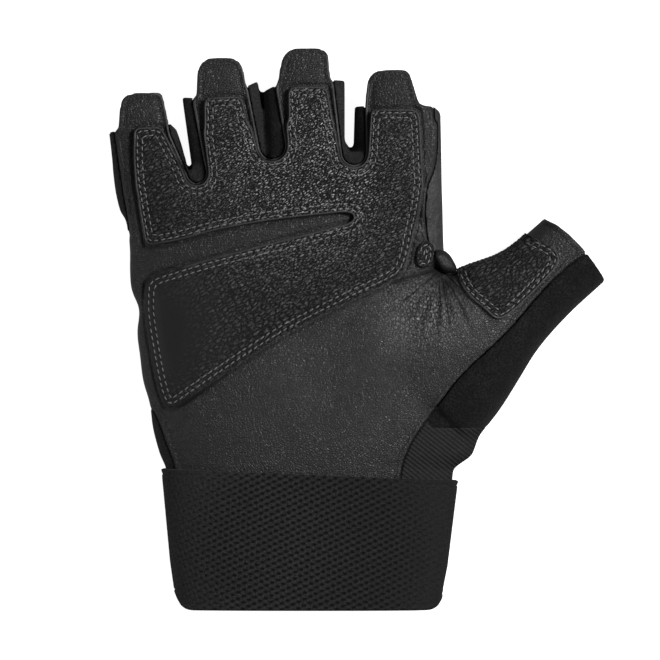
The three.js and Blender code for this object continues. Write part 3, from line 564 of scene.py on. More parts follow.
# Closed outlines where a field crosses a level, longest first.
def contours(values, level, pitch=OUTLINE_PITCH):
    low = values < level
    links = {}
    corners = low[:-1, :-1].astype(int) + low[:-1, 1:] + low[1:, :-1] + low[1:, 1:]
    for j, i in zip(*np.nonzero((corners > 0) & (corners < 4))):
        ends = []
        if low[j, i] != low[j, i + 1]:
            ends.append((0, j, i))
        if low[j, i] != low[j + 1, i]:
            ends.append((1, j, i))
        if low[j + 1, i] != low[j + 1, i + 1]:
            ends.append((0, j + 1, i))
        if low[j, i + 1] != low[j + 1, i + 1]:
            ends.append((1, j, i + 1))
        for a, b in zip(ends[::2], ends[1::2]):
            links.setdefault(a, []).append(b)
            links.setdefault(b, []).append(a)
    loops = []
    left = set(links)
    while left:
        here = left.pop()
        chain = [here]
        while True:
            onward = [e for e in links[here] if e in left]
            if not onward:
                break
            here = onward[0]
            left.discard(here)
            chain.append(here)
        points = []
        for kind, j, i in chain:
            other = values[j, i + 1] if kind == 0 else values[j + 1, i]
            share = (level - values[j, i]) / (other - values[j, i])
            points.append((PLAN_X[i] + (share * PLAN_STEP if kind == 0 else 0),
                           PLAN_Y[j] + (share * PLAN_STEP if kind == 1 else 0)))
        loops.append(np.array(points))
    loops = [resampled(loop, pitch) for loop in loops if len(loop) > SHORTEST_LOOP]
    return sorted(loops, key=len, reverse=True)


# A closed line with its small steps rounded off and its points evenly spaced.
def resampled(loop, pitch):
    for _ in range(3):
        loop = (np.roll(loop, 1, 0) + 2 * loop + np.roll(loop, -1, 0)) / 4
    closed = np.vstack([loop, loop[:1]])
    run = np.concatenate([[0], np.cumsum(np.hypot(*np.diff(closed, axis=0).T))])
    count = max(int(run[-1] / pitch), FEWEST_POINTS)
    where = np.linspace(0, run[-1], count, endpoint=False)
    return np.stack([np.interp(where, run, closed[:, 0]), np.interp(where, run, closed[:, 1])], 1)


# Corners cut twice, which makes a polyline a smooth outline.
def softened(outline, rounds=2, share=0.25):
    outline = np.asarray(outline, float)
    for _ in range(rounds):
        onward = np.roll(outline, -1, 0)
        outline = np.stack([outline + share * (onward - outline), onward + share * (outline - onward)], 1)
        outline = outline.reshape(-1, 2)
    return outline


# An outline through corners that are each rounded off by a radius of their own.
def rounded_outline(corners, flattest=0.05, share=0.49):
    spots = [np.array([corner["x"], corner["y"]], float) for corner in corners]
    points = []
    for i, corner in enumerate(corners):
        back = spots[i - 1] - spots[i]
        onward = spots[(i + 1) % len(spots)] - spots[i]
        back_length = np.linalg.norm(back)
        onward_length = np.linalg.norm(onward)
        back /= back_length
        onward /= onward_length
        half_angle = math.acos(np.clip(back @ onward, -1, 1)) / 2
        reach = corner["corner"] / max(math.tan(half_angle), flattest)
        reach = min(reach, share * back_length, share * onward_length)
        for t in np.linspace(0, 1, CORNER_STEPS if reach > 0 else 1):
            points.append(spots[i] + back * reach * (1 - t) ** 2 + onward * reach * t**2)
    return points


# An upright prism over an outline, between two heights.
def prism(outline, low=-REACH, high=CEILING):
    outline = np.asarray(outline, float)
    onward = np.roll(outline, -1, 0)
    area = np.sum(outline[:, 0] * onward[:, 1] - onward[:, 0] * outline[:, 1])
    if area < 0:
        outline = outline[::-1]
    count = len(outline)
    points = np.vstack([np.column_stack([outline, np.full(count, z)]) for z in (low, high)])
    faces = [tuple(range(count))[::-1], tuple(range(count, 2 * count))]
    return mesh_object("prism", points, faces + wall(0, count, count))


def rectangle(from_x, to_x, from_y, to_y):
    return [(from_x, from_y), (to_x, from_y), (to_x, to_y), (from_x, to_y)]


# Everything above or below the seam of the back, which falls from the wrist to the knuckles.
def beside_seam(offset, limit):
    corners = rectangle(-FAR, FAR, -FAR, FAR)
    slope = (BACK_SEAM_AT_KNUCKLES - BACK_SEAM_AT_WRIST) / KNUCKLE_Y
    piece = prism(corners, 0, 1)
    points = points_of(piece)
    seam_face = points[:, 2] < 0.5 if limit > 0 else points[:, 2] > 0.5
    points[:, 2] = np.where(seam_face, BACK_SEAM_AT_WRIST + slope * points[:, 1] + offset, limit)
    set_points(piece, points)
    return piece


# The hand's forms

def wrist_ring(angles, y, growth, slant):
    taper = 1 + (WRAP_TAPER - 1) * min(max(-y / WRAP_LENGTH, 0), 1)
    half = WRIST_WIDTH / 2 * taper - WRAP_THICKNESS + growth
    origin = (WRIST_ACROSS * PALM_WIDTH, y)
    points = ring(angles, origin, (1, 0), -half, half, WRIST_BASE - growth, WRIST_TOP + growth)
    points[:, 1] -= slant * (points[:, 0] - origin[0])
    return points


def palm_rings(growth, ends):
    cuff_end = -CUFF_DEPTH - (REACH if ends == "open" else 0)
    cuff = np.linspace(cuff_end, CUFF_RISE, CUFF_ROWS)
    rings = [wrist_ring(PALM_ANGLES, y, growth - SEAM, 0) for y in cuff]
    for row in finer_rows(PALM_SECTIONS, PALM_LENGTH):
        points = ring(
            PALM_ANGLES,
            (0, row["along"] * PALM_LENGTH),
            (1, 0),
            row["left"] * PALM_WIDTH - growth,
            row["right"] * PALM_WIDTH + growth,
            row["base"] * PALM_HEIGHT - growth,
            row["top"] * PALM_HEIGHT + growth,
        )
        points[:, 1] += row["slant"] * points[:, 0]
        rings.append(points)
    return rings


def finger_frame(finger):
    axis = np.array([-finger["lean"], 1]) / math.hypot(finger["lean"], 1)
    return {
        "axis": axis,
        "side": np.array([axis[1], -axis[0]]),
        "origin": np.array([finger["across"] * PALM_WIDTH, KNUCKLE_Y]),
        "length": finger["length"] * FINGER_LENGTH,
        "width": finger["width"] * FINGER_WIDTH,
        "height": finger["height"] * FINGER_HEIGHT,
        "tab_length": finger["tab_length"] * TAB_LENGTH,
    }


def axis_at(finger, y):
    return finger["across"] * PALM_WIDTH - finger["lean"] * (y - KNUCKLE_Y)


END_SHARES = np.linspace(0.15, 1, 7)


def finger_rings(finger, growth, ends):
    place = finger_frame(finger)

    def section(distance, row, drop):
        half = place["width"] * (1 + finger["spread"] * row["spread"]) / 2 + growth
        base = row["base"] * place["height"] - growth
        top = (row["top"] - drop) * place["height"] + growth
        middle = place["origin"] + place["axis"] * distance
        return ring(LIMB_ANGLES, middle, place["side"], -half, half, base, top)

    rows = finer_rows(FINGER_SECTIONS, place["length"])
    rings = [section(row["along"] * place["length"], row, 0) for row in rows]
    run_on = RUN_ON if ends == "even" else place["tab_length"] + (REACH if ends == "open" else RUN_ON)
    drop = 0 if ends == "even" else TAB_DROP
    for share in END_SHARES:
        rings.append(section(place["length"] + run_on * share, rows[-1], drop * share))
    return rings


def thumb_rings(growth, ends):
    def section(distance, row):
        return ring(
            LIMB_ANGLES,
            THUMB_ROOT + THUMB_AXIS * distance,
            THUMB_SIDE,
            row["crotch"] * THUMB_WIDTH - growth,
            row["outer"] * THUMB_WIDTH + growth,
            row["base"] * THUMB_HEIGHT - growth,
            row["top"] * THUMB_HEIGHT + growth,
        )

    rows = finer_rows(THUMB_SECTIONS, THUMB_LENGTH)
    rings = [section(row["along"] * THUMB_LENGTH, row) for row in rows]
    rings.append(section(THUMB_LENGTH + (REACH if ends == "open" else RUN_ON), rows[-1]))
    return rings


# All of the hand as one smooth body. Its fingers and thumb end even, run on under the pull tabs, or run on
# far past their ends so that they open what they are cut from.
def hand_form(name, growth, ends, voxel, rounds, floor):
    bodies = [palm_rings(growth, ends), thumb_rings(growth, ends)]
    bodies += [finger_rings(finger, growth, ends) for finger in FINGERS]
    piece = webbed(rounded(remesh(lofts_object(name, bodies), voxel), rounds))
    points = points_of(piece) + normals_of(piece) * FORM_GROWTH
    points[:, 2] = np.maximum(points[:, 2], floor)
    set_points(piece, points)
    return piece


def grown(piece, name, distance):
    twin = copy_of(piece, name)
    set_points(twin, points_of(twin) + normals_of(twin) * distance)
    return twin


# Plan fields of the leather front and of the overlays

def finger_outline(place, rows):
    return [place["origin"] + place["axis"] * along + place["side"] * across for along, across in rows]


def finger_strip(finger):
    place = finger_frame(finger)
    start = place["length"] * STRIP_START
    end = place["length"] + RUN_ON
    left = finger["front_left"] * place["width"]
    right = finger["front_right"] * place["width"]
    return finger_outline(place, [(start, left), (start, right), (end, right), (end, left)])


def crotch_outline(index, foot_growth, flare_growth):
    crotch = CROTCHES[index]
    left = finger_frame(FINGERS[index])
    right = finger_frame(FINGERS[index + 1])

    def middle_at(y):
        left_edge = axis_at(FINGERS[index], y) + left["width"] / 2
        right_edge = axis_at(FINGERS[index + 1], y) - right["width"] / 2
        return (left_edge + right_edge) / 2

    radius = crotch["radius"] * FINGER_WIDTH + foot_growth
    foot_y = crotch["along"] * PALM_LENGTH + crotch["radius"] * FINGER_WIDTH
    foot = middle_at(foot_y) + crotch["foot_shift"] * FINGER_WIDTH
    end_y = KNUCKLE_Y + max(left["length"], right["length"])
    flare = crotch["flare"] * FINGER_WIDTH + flare_growth
    past = REACH + max(left["tab_length"], right["tab_length"])
    widening = (flare - radius) * past / (end_y - foot_y)
    top = middle_at(end_y) + crotch["top_shift"] * FINGER_WIDTH
    drift = (top - foot) * past / (end_y - foot_y)
    reach = flare + widening
    points = [(top + drift + reach, end_y + past), (top + drift - reach, end_y + past)]
    for angle in np.linspace(math.pi, 2 * math.pi, FOOT_STEPS):
        points.append((foot + radius * math.cos(angle), foot_y + radius * math.sin(angle)))
    return points


def crotch_fields(foot_growth, flare_growth):
    return [field(crotch_outline(i, foot_growth, flare_growth)) for i in range(len(CROTCHES))]


def leather_field():
    edge = field(softened(palm_points(LEATHER_EDGE)))
    strips = [field(finger_strip(finger)) for finger in FINGERS]
    tabs = [field(rounded_outline(tab)) for tab in TABS]
    ends = [field(FINGER_ENDS), field(THUMB_END)]
    return union(minus(union(edge, *strips), *ends, *crotch_fields(0, 0)), *tabs)


def pad_field():
    edge = field(softened(palm_points(PAD_EDGE)))
    tops = [field(rounded_outline(top)) for top in PAD_TOPS]
    slot = field(softened(palm_points(SLOT_EDGE)))
    return minus(union(edge, *tops), slot, *crotch_fields(PAD_MARGIN, PAD_FLARE))


# The exact distance field of a combined outline, and that outline.
def settled_field(values):
    outline = contours(values, 0)[0]
    return field(outline), outline


# Materials

# Places that the looks turn about, in millimetres from the middle of the glove. A look's value goes from
# the first of its values to the second between the two distances from the place.
THUMB_CROTCH = (26.2, 19.1, 16)
ZONES = table(
    "name place distances values",
    [
        ("ball of the thumb", (21, 7, 26), (4, 20), (1, 0)),
        ("thumb crotch", THUMB_CROTCH, (4, 27), (1, 0)),
        # Painted light: the leather's tone is lighter about this middle of the palm and darker away from it
        ("lit palm", (18, -4, 20), (38, 72), (1, 0.3)),
        # Painted highlight: the overlay's painted glints, and its broader cells, are strongest about the
        # knuckles
        ("lit knuckles", (-18, 50, 24), (14, 44), (1, 0.25)),
        ("around the worn heel", (-59, -2, 14), (15, 33), (0, 1)),
        # Where the elastic's painted dimple shade is full, fading out towards the wrap's sides
        ("middle of the wrap", (-16, -67, 28), (25, 41), (1, 0.15)),
        # Painted shade: the wrap's tone darkens away from its left side, towards the right
        ("left of the wrap", (-38, -67, 28), (22, 58), (1, 0.45)),
    ],
)
# The crease of the thumb crotch, along which the leather is tinted with painted shade: nearly full within the
# first distance, none past the second
CROTCH_CREASE = [(11, 14.8), (21.4, 18), (30.4, 19.4)]
CREASE_DISTANCES = (0.25, 1.1)
CREASE_VALUES = (0.95, 0)

# Base colours
LEATHER_DARK = (0.0085, 0.0085, 0.0088)
# Painted highlight: a light tone laid on the pebble tops of the ball of the thumb in place of glints
LEATHER_LIGHT = (0.037, 0.037, 0.0378)
LEATHER_PAINTED_GLINT = (0.15, 0.15, 0.155)
# Painted shade for the leather's wrinkle valleys and the crotch crease
PAINTED_CREASE_SHADE = (0.0025, 0.0025, 0.0026)
OVERLAY_DARK = (0.0016, 0.0016, 0.0018)
OVERLAY_LIGHT = (0.028, 0.028, 0.0286)
# Painted highlight: light flecks laid on the overlay's cell tops in place of glints
OVERLAY_PAINTED_GLINT = (0.36, 0.36, 0.37)
ELASTIC_DARK = (0.0014, 0.0014, 0.0016)
ELASTIC_LIGHT = (0.034, 0.034, 0.035)
RIB_DARK = (0.005, 0.005, 0.0052)
RIB_LIGHT = (0.03, 0.03, 0.031)
THREAD_DARK = (0.1, 0.1, 0.102)
THREAD_LIGHT = (0.26, 0.26, 0.265)

# Directions of the textures, in radians
OVERLAY_TURN = math.radians(33)
WEAVE_TURN = math.radians(25)
RIB_TURN = math.radians(-38)

MIDDLING = (0.3, 0.7)
FULL = (0, 1)
FADING = (1, 0)


def material(name, color, roughness, build):
    made = bpy.data.materials.new(name)
    made.use_nodes = True
    sockets = made.node_tree.nodes["Principled BSDF"].inputs
    sockets["Base Color"].default_value = (*color, 1)
    sockets["Roughness"].default_value = roughness
    build(Tree(made.node_tree), sockets)
    return made


class Tree:
    """Short calls for a material's nodes."""

    def __init__(self, tree):
        self.tree = tree
        self.coordinates = tree.nodes.new("ShaderNodeTexCoord").outputs["Object"]

    def node(self, kind, **settings):
        made = self.tree.nodes.new(kind)
        for name, value in settings.items():
            setattr(made, name, value)
        return made

    def link(self, source, target):
        self.tree.links.new(source, target)

    # Gives sockets a fixed value each, or another socket's.
    def fill(self, sockets, values):
        for socket, value in zip(sockets, values):
            if isinstance(value, bpy.types.NodeSocket):
                self.link(value, socket)
            elif value is not None:
                socket.default_value = value

    def math(self, operation, a, b=None, clamp=False):
        made = self.node("ShaderNodeMath", operation=operation, use_clamp=clamp)
        self.fill(made.inputs, (a, b))
        return made.outputs[0]

    def vector(self, operation, a, b):
        made = self.node("ShaderNodeVectorMath", operation=operation)
        self.fill(made.inputs, (a, b))
        return made

    def product(self, *factors, clamp=False):
        result = factors[0]
        for factor in factors[1:-1]:
            result = self.math("MULTIPLY", result, factor)
        return self.math("MULTIPLY", result, factors[-1], clamp)

    def mapped(self, scale, turn=0.0):
        mapping = self.node("ShaderNodeMapping", vector_type="TEXTURE")
        mapping.inputs["Scale"].default_value = scale
        mapping.inputs["Rotation"].default_value = (0, 0, turn)
        self.link(self.coordinates, mapping.inputs["Vector"])
        return mapping.outputs["Vector"]

    def noise(self, size, detail=3.0, vector=None, distortion=0.0):
        made = self.node("ShaderNodeTexNoise")
        made.inputs["Scale"].default_value = 1 / (size * MM)
        made.inputs["Detail"].default_value = detail
        made.inputs["Distortion"].default_value = distortion
        self.link(vector or self.coordinates, made.inputs["Vector"])
        return made.outputs["Fac"]

    # How far a point is from the walls between irregular cells.
    def cells(self, size, randomness=1.0, vector=None):
        made = self.node("ShaderNodeTexVoronoi", feature="DISTANCE_TO_EDGE")
        made.inputs["Scale"].default_value = 1 / (size * MM)
        made.inputs["Randomness"].default_value = randomness
        self.link(vector or self.coordinates, made.inputs["Vector"])
        return made.outputs["Distance"]

    # How far a point is from a place, in millimetres.
    def away_from(self, place):
        gap = self.vector("DISTANCE", self.coordinates, Vector(place) * MM)
        return self.math("DIVIDE", gap.outputs["Value"], MM)

    # A value that changes with the distance from a place.
    def zone(self, name):
        row = next(row for row in ZONES if row["name"] == name)
        return self.ranged(self.away_from(row["place"]), row["distances"], row["values"])

    # A wave between 0 and 1.
    def wave(self, angle):
        made = self.math("MULTIPLY_ADD", self.math("COSINE", angle), 0.5)
        made.node.inputs[2].default_value = 0.5
        return made

    # Rows and steps of a slanted lattice, seen from above.
    def lattice(self, turn, pitch, gap):
        axes = self.node("ShaderNodeSeparateXYZ")
        self.link(self.coordinates, axes.inputs[0])
        x, y = axes.outputs["X"], axes.outputs["Y"]
        cos, sin = math.cos(turn), math.sin(turn)
        along = self.math("ADD", self.product(x, cos), self.product(y, sin))
        over = self.math("SUBTRACT", self.product(y, cos), self.product(x, sin))
        row = self.product(over, 2 * math.pi / (gap * MM))
        step = self.product(along, 2 * math.pi / (pitch * MM))
        return self.wave(row), self.wave(self.math("ADD", step, self.product(row, 0.5)))

    # A value of one range brought to another.
    def ranged(self, value, source, target=FULL):
        made = self.node("ShaderNodeMapRange")
        self.fill(made.inputs, (value, *source, *target))
        return made.outputs["Result"]

    def tint(self, value, dark, light):
        made = self.node("ShaderNodeMix", data_type="RGBA")
        names = ("Factor", "A", "B")
        dark = dark if isinstance(dark, bpy.types.NodeSocket) else (*dark, 1)
        self.fill([made.inputs[name] for name in names], (value, dark, (*light, 1)))
        return made.outputs["Result"]

    # One value or another, by a share.
    def blend(self, share, first, second):
        made = self.node("ShaderNodeMix")
        self.fill([made.inputs[name] for name in ("Factor", "A", "B")], (share, first, second))
        return made.outputs["Result"]

    # How far a point is from a line through places, seen from above, in millimetres.
    def beside(self, line):
        flat = self.vector("MULTIPLY", self.coordinates, (1 / MM, 1 / MM, 0)).outputs[0]
        nearest = None
        for start, end in zip(line[:-1], line[1:]):
            run = Vector((end[0] - start[0], end[1] - start[1], 0))
            offset = self.vector("SUBTRACT", flat, (*start, 0)).outputs[0]
            along = self.vector("DOT_PRODUCT", offset, run / run.length_squared).outputs["Value"]
            foot = self.node("ShaderNodeVectorMath", operation="SCALE")
            foot.inputs[0].default_value = run
            self.link(self.math("MULTIPLY", along, 1, True), foot.inputs["Scale"])
            gap = self.vector("DISTANCE", offset, foot.outputs[0]).outputs["Value"]
            nearest = self.math("MINIMUM", gap, nearest) if nearest else gap
        return nearest

    # Streaks that spread from a place, seen from above.
    def fan(self, place, streaks, lengthening=0.08):
        offset = self.vector("SUBTRACT", self.coordinates, Vector(place) * MM)
        axes = self.node("ShaderNodeSeparateXYZ")
        self.link(offset.outputs[0], axes.inputs[0])
        angle = self.math("ARCTAN2", axes.outputs["Y"], axes.outputs["X"])
        spread = self.node("ShaderNodeCombineXYZ")
        self.link(self.product(angle, streaks), spread.inputs["X"])
        self.link(self.product(self.away_from(place), lengthening), spread.inputs["Y"])
        return self.noise(1 / MM, 3, spread.outputs[0])

    def bump(self, height, distance, normal=None):
        made = self.node("ShaderNodeBump")
        made.inputs["Distance"].default_value = distance * MM
        made.inputs["Strength"].default_value = 1
        self.link(height, made.inputs["Height"])
        if normal is not None:
            self.link(normal, made.inputs["Normal"])
        return made.outputs["Normal"]


# Each look's numbers: sizes and depths of its textures in millimetres, gloss, roughness, and the ranges and
# shares that shape its tones, its painted highlights and its painted shade
GRAIN = {
    "fine": 0.72, "fine_stretch": (1.15, 0.9, 1), "broad": 1.15, "broad_stretch": (0.9, 1.15, 1),
    "walls": (0.02, 0.25), "patches": 11, "spots": 1.1, "spot_range": (0.35, 0.65), "spot_values": (0.35, 1),
    "patch_share": 0.35, "grain_share": 0.65, "painted_glint": 0.8, "streaks": 8, "painted_valley_shade": (0.5, 0.4),
    "valley_values": (0, 0.8), "creases": 1.5, "crease_stretch": (2.0, 0.7, 1), "coarseness": (0.5, 1),
    "depth": 0.26, "crease_depth": 0.3, "fold_depth": 2.6, "gloss": 0.42, "roughness": (0.5, 0.42),
    "polish": 0.1, "valley_roughness": 0.8,
}
SMOOTH = {
    "patches": 7, "cells": 0.55, "walls": (0, 0.3), "depth": 0.05, "creases": 1.6, "gloss": 0.3,
    "roughness": (0.52, 0.42),
}
CELLS = {
    "stretch": (1.5, 0.75, 1.1), "fine": 0.85, "fine_randomness": 0.9, "fine_walls": (0.02, 0.24),
    "broad": 1.5, "broad_randomness": 0.75, "broad_walls": (0.03, 0.34), "flecks": 0.55,
    "fleck_stretch": (1.7, 0.8, 1), "fleck_range": (0.47, 0.62), "contrast": 1.5, "body": 0.85,
    "worn": 0.25, "roughness": (0.9, 0.45), "worn_polish": 0.28, "polish": 0.25, "depth": 0.8,
    "fuzz": 0.5, "fuzz_depth": 0.14, "gloss": 0.3,
}
KNIT = {
    "nap": 0.6, "nap_range": (0.4, 0.68), "clouds": 6, "cloud_values": (0.35, 1), "depth": 0.45,
    "gloss": 0.12,
}
WEAVE = {
    "yarn": 0.45, "yarn_range": (0.35, 0.7), "yarn_values": (0.25, 1), "pitch": 1.95, "gap": 1.75,
    "row_sharpness": 1.2, "step_sharpness": 1.6, "valley_sharpness": 3, "painted_valley_shade": 0.45, "depth": 0.45,
    "yarn_depth": 0.12, "gloss": 0.15,
}
RIBS = {
    "yarn": 0.5, "yarn_range": (0.35, 0.7), "yarn_values": (0.4, 1), "pitch": 1.6, "gap": 1.15,
    "painted_shade": (1, 0.45), "depth": 0.2, "yarn_depth": 0.15, "gloss": 0.15,
}
STRANDS = {"size": 0.3, "depth": 0.1}
FINE_DETAIL = 4
FINEST_DETAIL = 5


# Grained leather: coarser and shinier on the ball of the thumb, where the pebble tops get painted highlights,
# with folds that fan out from the crotch and painted shade in their valleys and along the crotch crease.
def leather_look(t, sockets):
    look = GRAIN
    thenar = t.zone("ball of the thumb")
    near = t.zone("thumb crotch")
    fine_cells = t.ranged(t.cells(look["fine"], vector=t.mapped(look["fine_stretch"])), look["walls"])
    broad_cells = t.ranged(t.cells(look["broad"], vector=t.mapped(look["broad_stretch"])), look["walls"])
    pebbles = t.blend(thenar, fine_cells, broad_cells)
    patches = t.ranged(t.noise(look["patches"], FINE_DETAIL), MIDDLING)
    grain = t.product(pebbles, t.ranged(t.noise(look["spots"]), look["spot_range"], look["spot_values"]))
    tone = t.math("ADD", t.product(patches, look["patch_share"]), t.product(grain, look["grain_share"]))
    # Painted light and shade: the tone is lighter about the palm's middle and darker away from it
    dark = t.tint(t.product(tone, t.zone("lit palm")), LEATHER_DARK, LEATHER_LIGHT)
    # Painted highlight: the pebble tops on the ball of the thumb are tinted light
    lit = t.tint(t.product(grain, thenar, look["painted_glint"]), dark, LEATHER_PAINTED_GLINT)
    wrinkles = t.fan(THUMB_CROTCH, look["streaks"])
    # Painted shade: the valleys of the fanning wrinkles and the crotch crease are tinted dark
    painted_valley_shade = t.product(near, t.ranged(wrinkles, look["painted_valley_shade"], look["valley_values"]), clamp=True)
    crease = t.ranged(t.beside(CROTCH_CREASE), CREASE_DISTANCES, CREASE_VALUES)
    painted_valley_shade = t.math("MAXIMUM", painted_valley_shade, crease)
    t.link(t.tint(painted_valley_shade, lit, PAINTED_CREASE_SHADE), sockets["Base Color"])
    sockets["Specular IOR Level"].default_value = look["gloss"]
    rough = t.math("SUBTRACT", t.ranged(patches, FULL, look["roughness"]), t.product(thenar, look["polish"]))
    t.link(t.math("MAXIMUM", rough, t.product(painted_valley_shade, look["valley_roughness"])), sockets["Roughness"])
    creases = t.noise(look["creases"], FINE_DETAIL, t.mapped(look["crease_stretch"]), distortion=0.5)
    coarse = t.bump(t.product(pebbles, t.ranged(thenar, FULL, look["coarseness"])), look["depth"])
    creased = t.bump(creases, look["crease_depth"], coarse)
    t.link(t.bump(t.product(wrinkles, near), look["fold_depth"], creased), sockets["Normal"])


# Smooth leather between two tones, with creases of a depth in millimetres.
def smooth_leather(dark, light, crease=0.25):
    def build(t, sockets):
        look = SMOOTH
        patches = t.ranged(t.noise(look["patches"], FINE_DETAIL), MIDDLING)
        t.link(t.tint(patches, (dark,) * 3, (light,) * 3), sockets["Base Color"])
        t.link(t.ranged(patches, FULL, look["roughness"]), sockets["Roughness"])
        sockets["Specular IOR Level"].default_value = look["gloss"]
        coarse = t.bump(t.ranged(t.cells(look["cells"]), look["walls"]), look["depth"])
        creases = t.noise(look["creases"], FINEST_DETAIL, distortion=0.5)
        t.link(t.bump(creases, crease, coarse), sockets["Normal"])

    return build


# Leather embossed with small cells, with painted highlights as light flecks that are brightest at the
# knuckles, and worn smooth at the heel of the hand.
def overlay_look(t, sockets):
    look = CELLS
    place = t.mapped(look["stretch"], OVERLAY_TURN)
    lit = t.zone("lit knuckles")
    calm = t.zone("around the worn heel")
    worn = t.ranged(calm, FULL, FADING)
    fine = t.ranged(t.cells(look["fine"], look["fine_randomness"], place), look["fine_walls"])
    broad = t.ranged(t.cells(look["broad"], look["broad_randomness"], place), look["broad_walls"])
    cells = t.blend(lit, broad, fine)
    height = t.product(cells, calm)
    flecks = t.noise(look["flecks"], 2, t.mapped(look["fleck_stretch"], OVERLAY_TURN))
    # Painted highlight: light flecks on the cell tops, strongest about the knuckles
    painted_glint = t.product(cells, t.ranged(flecks, look["fleck_range"]), lit, calm, clamp=True)
    depth = t.product(t.math("POWER", cells, look["contrast"]), calm, look["body"])
    body = t.tint(t.math("ADD", depth, t.product(worn, look["worn"])), OVERLAY_DARK, OVERLAY_LIGHT)
    t.link(t.tint(painted_glint, body, OVERLAY_PAINTED_GLINT), sockets["Base Color"])
    dull = t.math("SUBTRACT", t.ranged(height, FULL, look["roughness"]), t.product(worn, look["worn_polish"]))
    t.link(t.math("SUBTRACT", dull, t.product(painted_glint, look["polish"])), sockets["Roughness"])
    sockets["Specular IOR Level"].default_value = look["gloss"]
    embossed = t.bump(height, look["depth"])
    t.link(t.bump(t.noise(look["fuzz"]), look["fuzz_depth"], embossed), sockets["Normal"])


# Cloth's soft sheen and low gloss.
def cloth(sockets, gloss, sheen=0.03):
    sockets["Specular IOR Level"].default_value = gloss
    sockets["Sheen Weight"].default_value = sheen
    sockets["Sheen Roughness"].default_value = 0.5


# Stretch fabric between two tones.
def fabric(dark, light):
    def build(t, sockets):
        look = KNIT
        nap = t.noise(look["nap"], FINE_DETAIL)
        clouds = t.ranged(t.noise(look["clouds"]), MIDDLING, look["cloud_values"])
        tone = t.product(t.ranged(nap, look["nap_range"]), clouds, clamp=True)
        t.link(t.tint(tone, (dark,) * 3, (light,) * 3), sockets["Base Color"])
        cloth(sockets, look["gloss"])
        t.link(t.bump(nap, look["depth"]), sockets["Normal"])

    return build


# Woven elastic: dark dots of painted shade in the dimples of a slanted lattice, with painted shade between
# its rows, that fade out towards the sides; its tone is also painted darker towards the wrap's right side.
def elastic_look(t, sockets):
    look = WEAVE
    yarn = t.noise(look["yarn"])
    threads = t.ranged(yarn, look["yarn_range"], look["yarn_values"])
    rows, steps = t.lattice(WEAVE_TURN, look["pitch"], look["gap"])
    # Painted shade: the dimples and the furrows between the rows are tinted dark, and the same mask also
    # sinks them as bump
    dots = t.product(
        t.math("POWER", rows, look["row_sharpness"]), t.math("POWER", steps, look["step_sharpness"]))
    painted_valley_shade = t.product(t.math("POWER", rows, look["valley_sharpness"]), look["painted_valley_shade"])
    painted_shade = t.product(t.math("ADD", dots, painted_valley_shade), t.zone("middle of the wrap"), clamp=True)
    tone = t.product(threads, t.math("SUBTRACT", 1, painted_shade), clamp=True)
    # Painted shade: darker towards the wrap's right side
    tone = t.product(tone, t.zone("left of the wrap"))
    t.link(t.tint(tone, ELASTIC_DARK, ELASTIC_LIGHT), sockets["Base Color"])
    cloth(sockets, look["gloss"])
    woven = t.bump(t.product(painted_shade, -1), look["depth"])
    t.link(t.bump(yarn, look["yarn_depth"], woven), sockets["Normal"])


# Ribbed elastic, with painted shade tinting the grooves between its ribs darker.
def ribbed_look(t, sockets):
    look = RIBS
    yarn = t.noise(look["yarn"])
    threads = t.ranged(yarn, look["yarn_range"], look["yarn_values"])
    rows, _ = t.lattice(RIB_TURN, look["pitch"], look["gap"])
    # Painted shade: the grooves of the rows are tinted darker
    tone = t.product(threads, t.ranged(rows, FULL, look["painted_shade"]), clamp=True)
    t.link(t.tint(tone, RIB_DARK, RIB_LIGHT), sockets["Base Color"])
    sockets["Specular IOR Level"].default_value = look["gloss"]
    ribbed = t.bump(t.product(rows, -1), look["depth"])
    t.link(t.bump(yarn, look["yarn_depth"], ribbed), sockets["Normal"])


def thread_look(t, sockets):
    strands = t.noise(STRANDS["size"], 2)
    t.link(t.tint(strands, THREAD_DARK, THREAD_LIGHT), sockets["Base Color"])
    t.link(t.bump(strands, STRANDS["depth"]), sockets["Normal"])


LEATHER = material("grained leather", (0.04, 0.04, 0.041), 0.48, leather_look)
SMOOTH_LEATHER = material("smooth leather", (0.01, 0.01, 0.01), 0.48, smooth_leather(0.005, 0.011))
SIDE_LEATHER = material("side leather", (0.03, 0.03, 0.03), 0.48, smooth_leather(0.018, 0.05, 0.9))
# Painted highlight: the turned edges get a lighter leather tone that stands for the light they catch
PAINTED_HIGHLIGHT_EDGE = material("turned edge", (0.03, 0.03, 0.03), 0.48, smooth_leather(0.03, 0.055))
OVERLAY = material("embossed overlay", (0.02, 0.02, 0.02), 0.55, overlay_look)
FABRIC = material("stretch fabric", (0.01, 0.01, 0.01), 0.85, fabric(0.003, 0.017))
WALL_FABRIC = material("side wall fabric", (0.02, 0.02, 0.02), 0.85, fabric(0.012, 0.034))
ELASTIC = material("woven elastic", (0.014, 0.014, 0.014), 0.8, elastic_look)
RIBBED = material("ribbed elastic", (0.014, 0.014, 0.014), 0.8, ribbed_look)
THREAD = material("thread", (0.15, 0.15, 0.15), 0.6, thread_look)


# Moves a finished piece from the palm's frame to the model's, in metres, and ties it to the glove.
def finish_piece(piece, name, look, *nodes):
    set_points(piece, (points_of(piece) + OFFSET) * MM)
    piece.name = name
    piece.data.name = name
    piece.data.materials.clear()
    piece.data.materials.append(look)
    piece.data.shade_smooth()
    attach(piece, "root")
    if nodes:
        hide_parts(*nodes)
    return piece


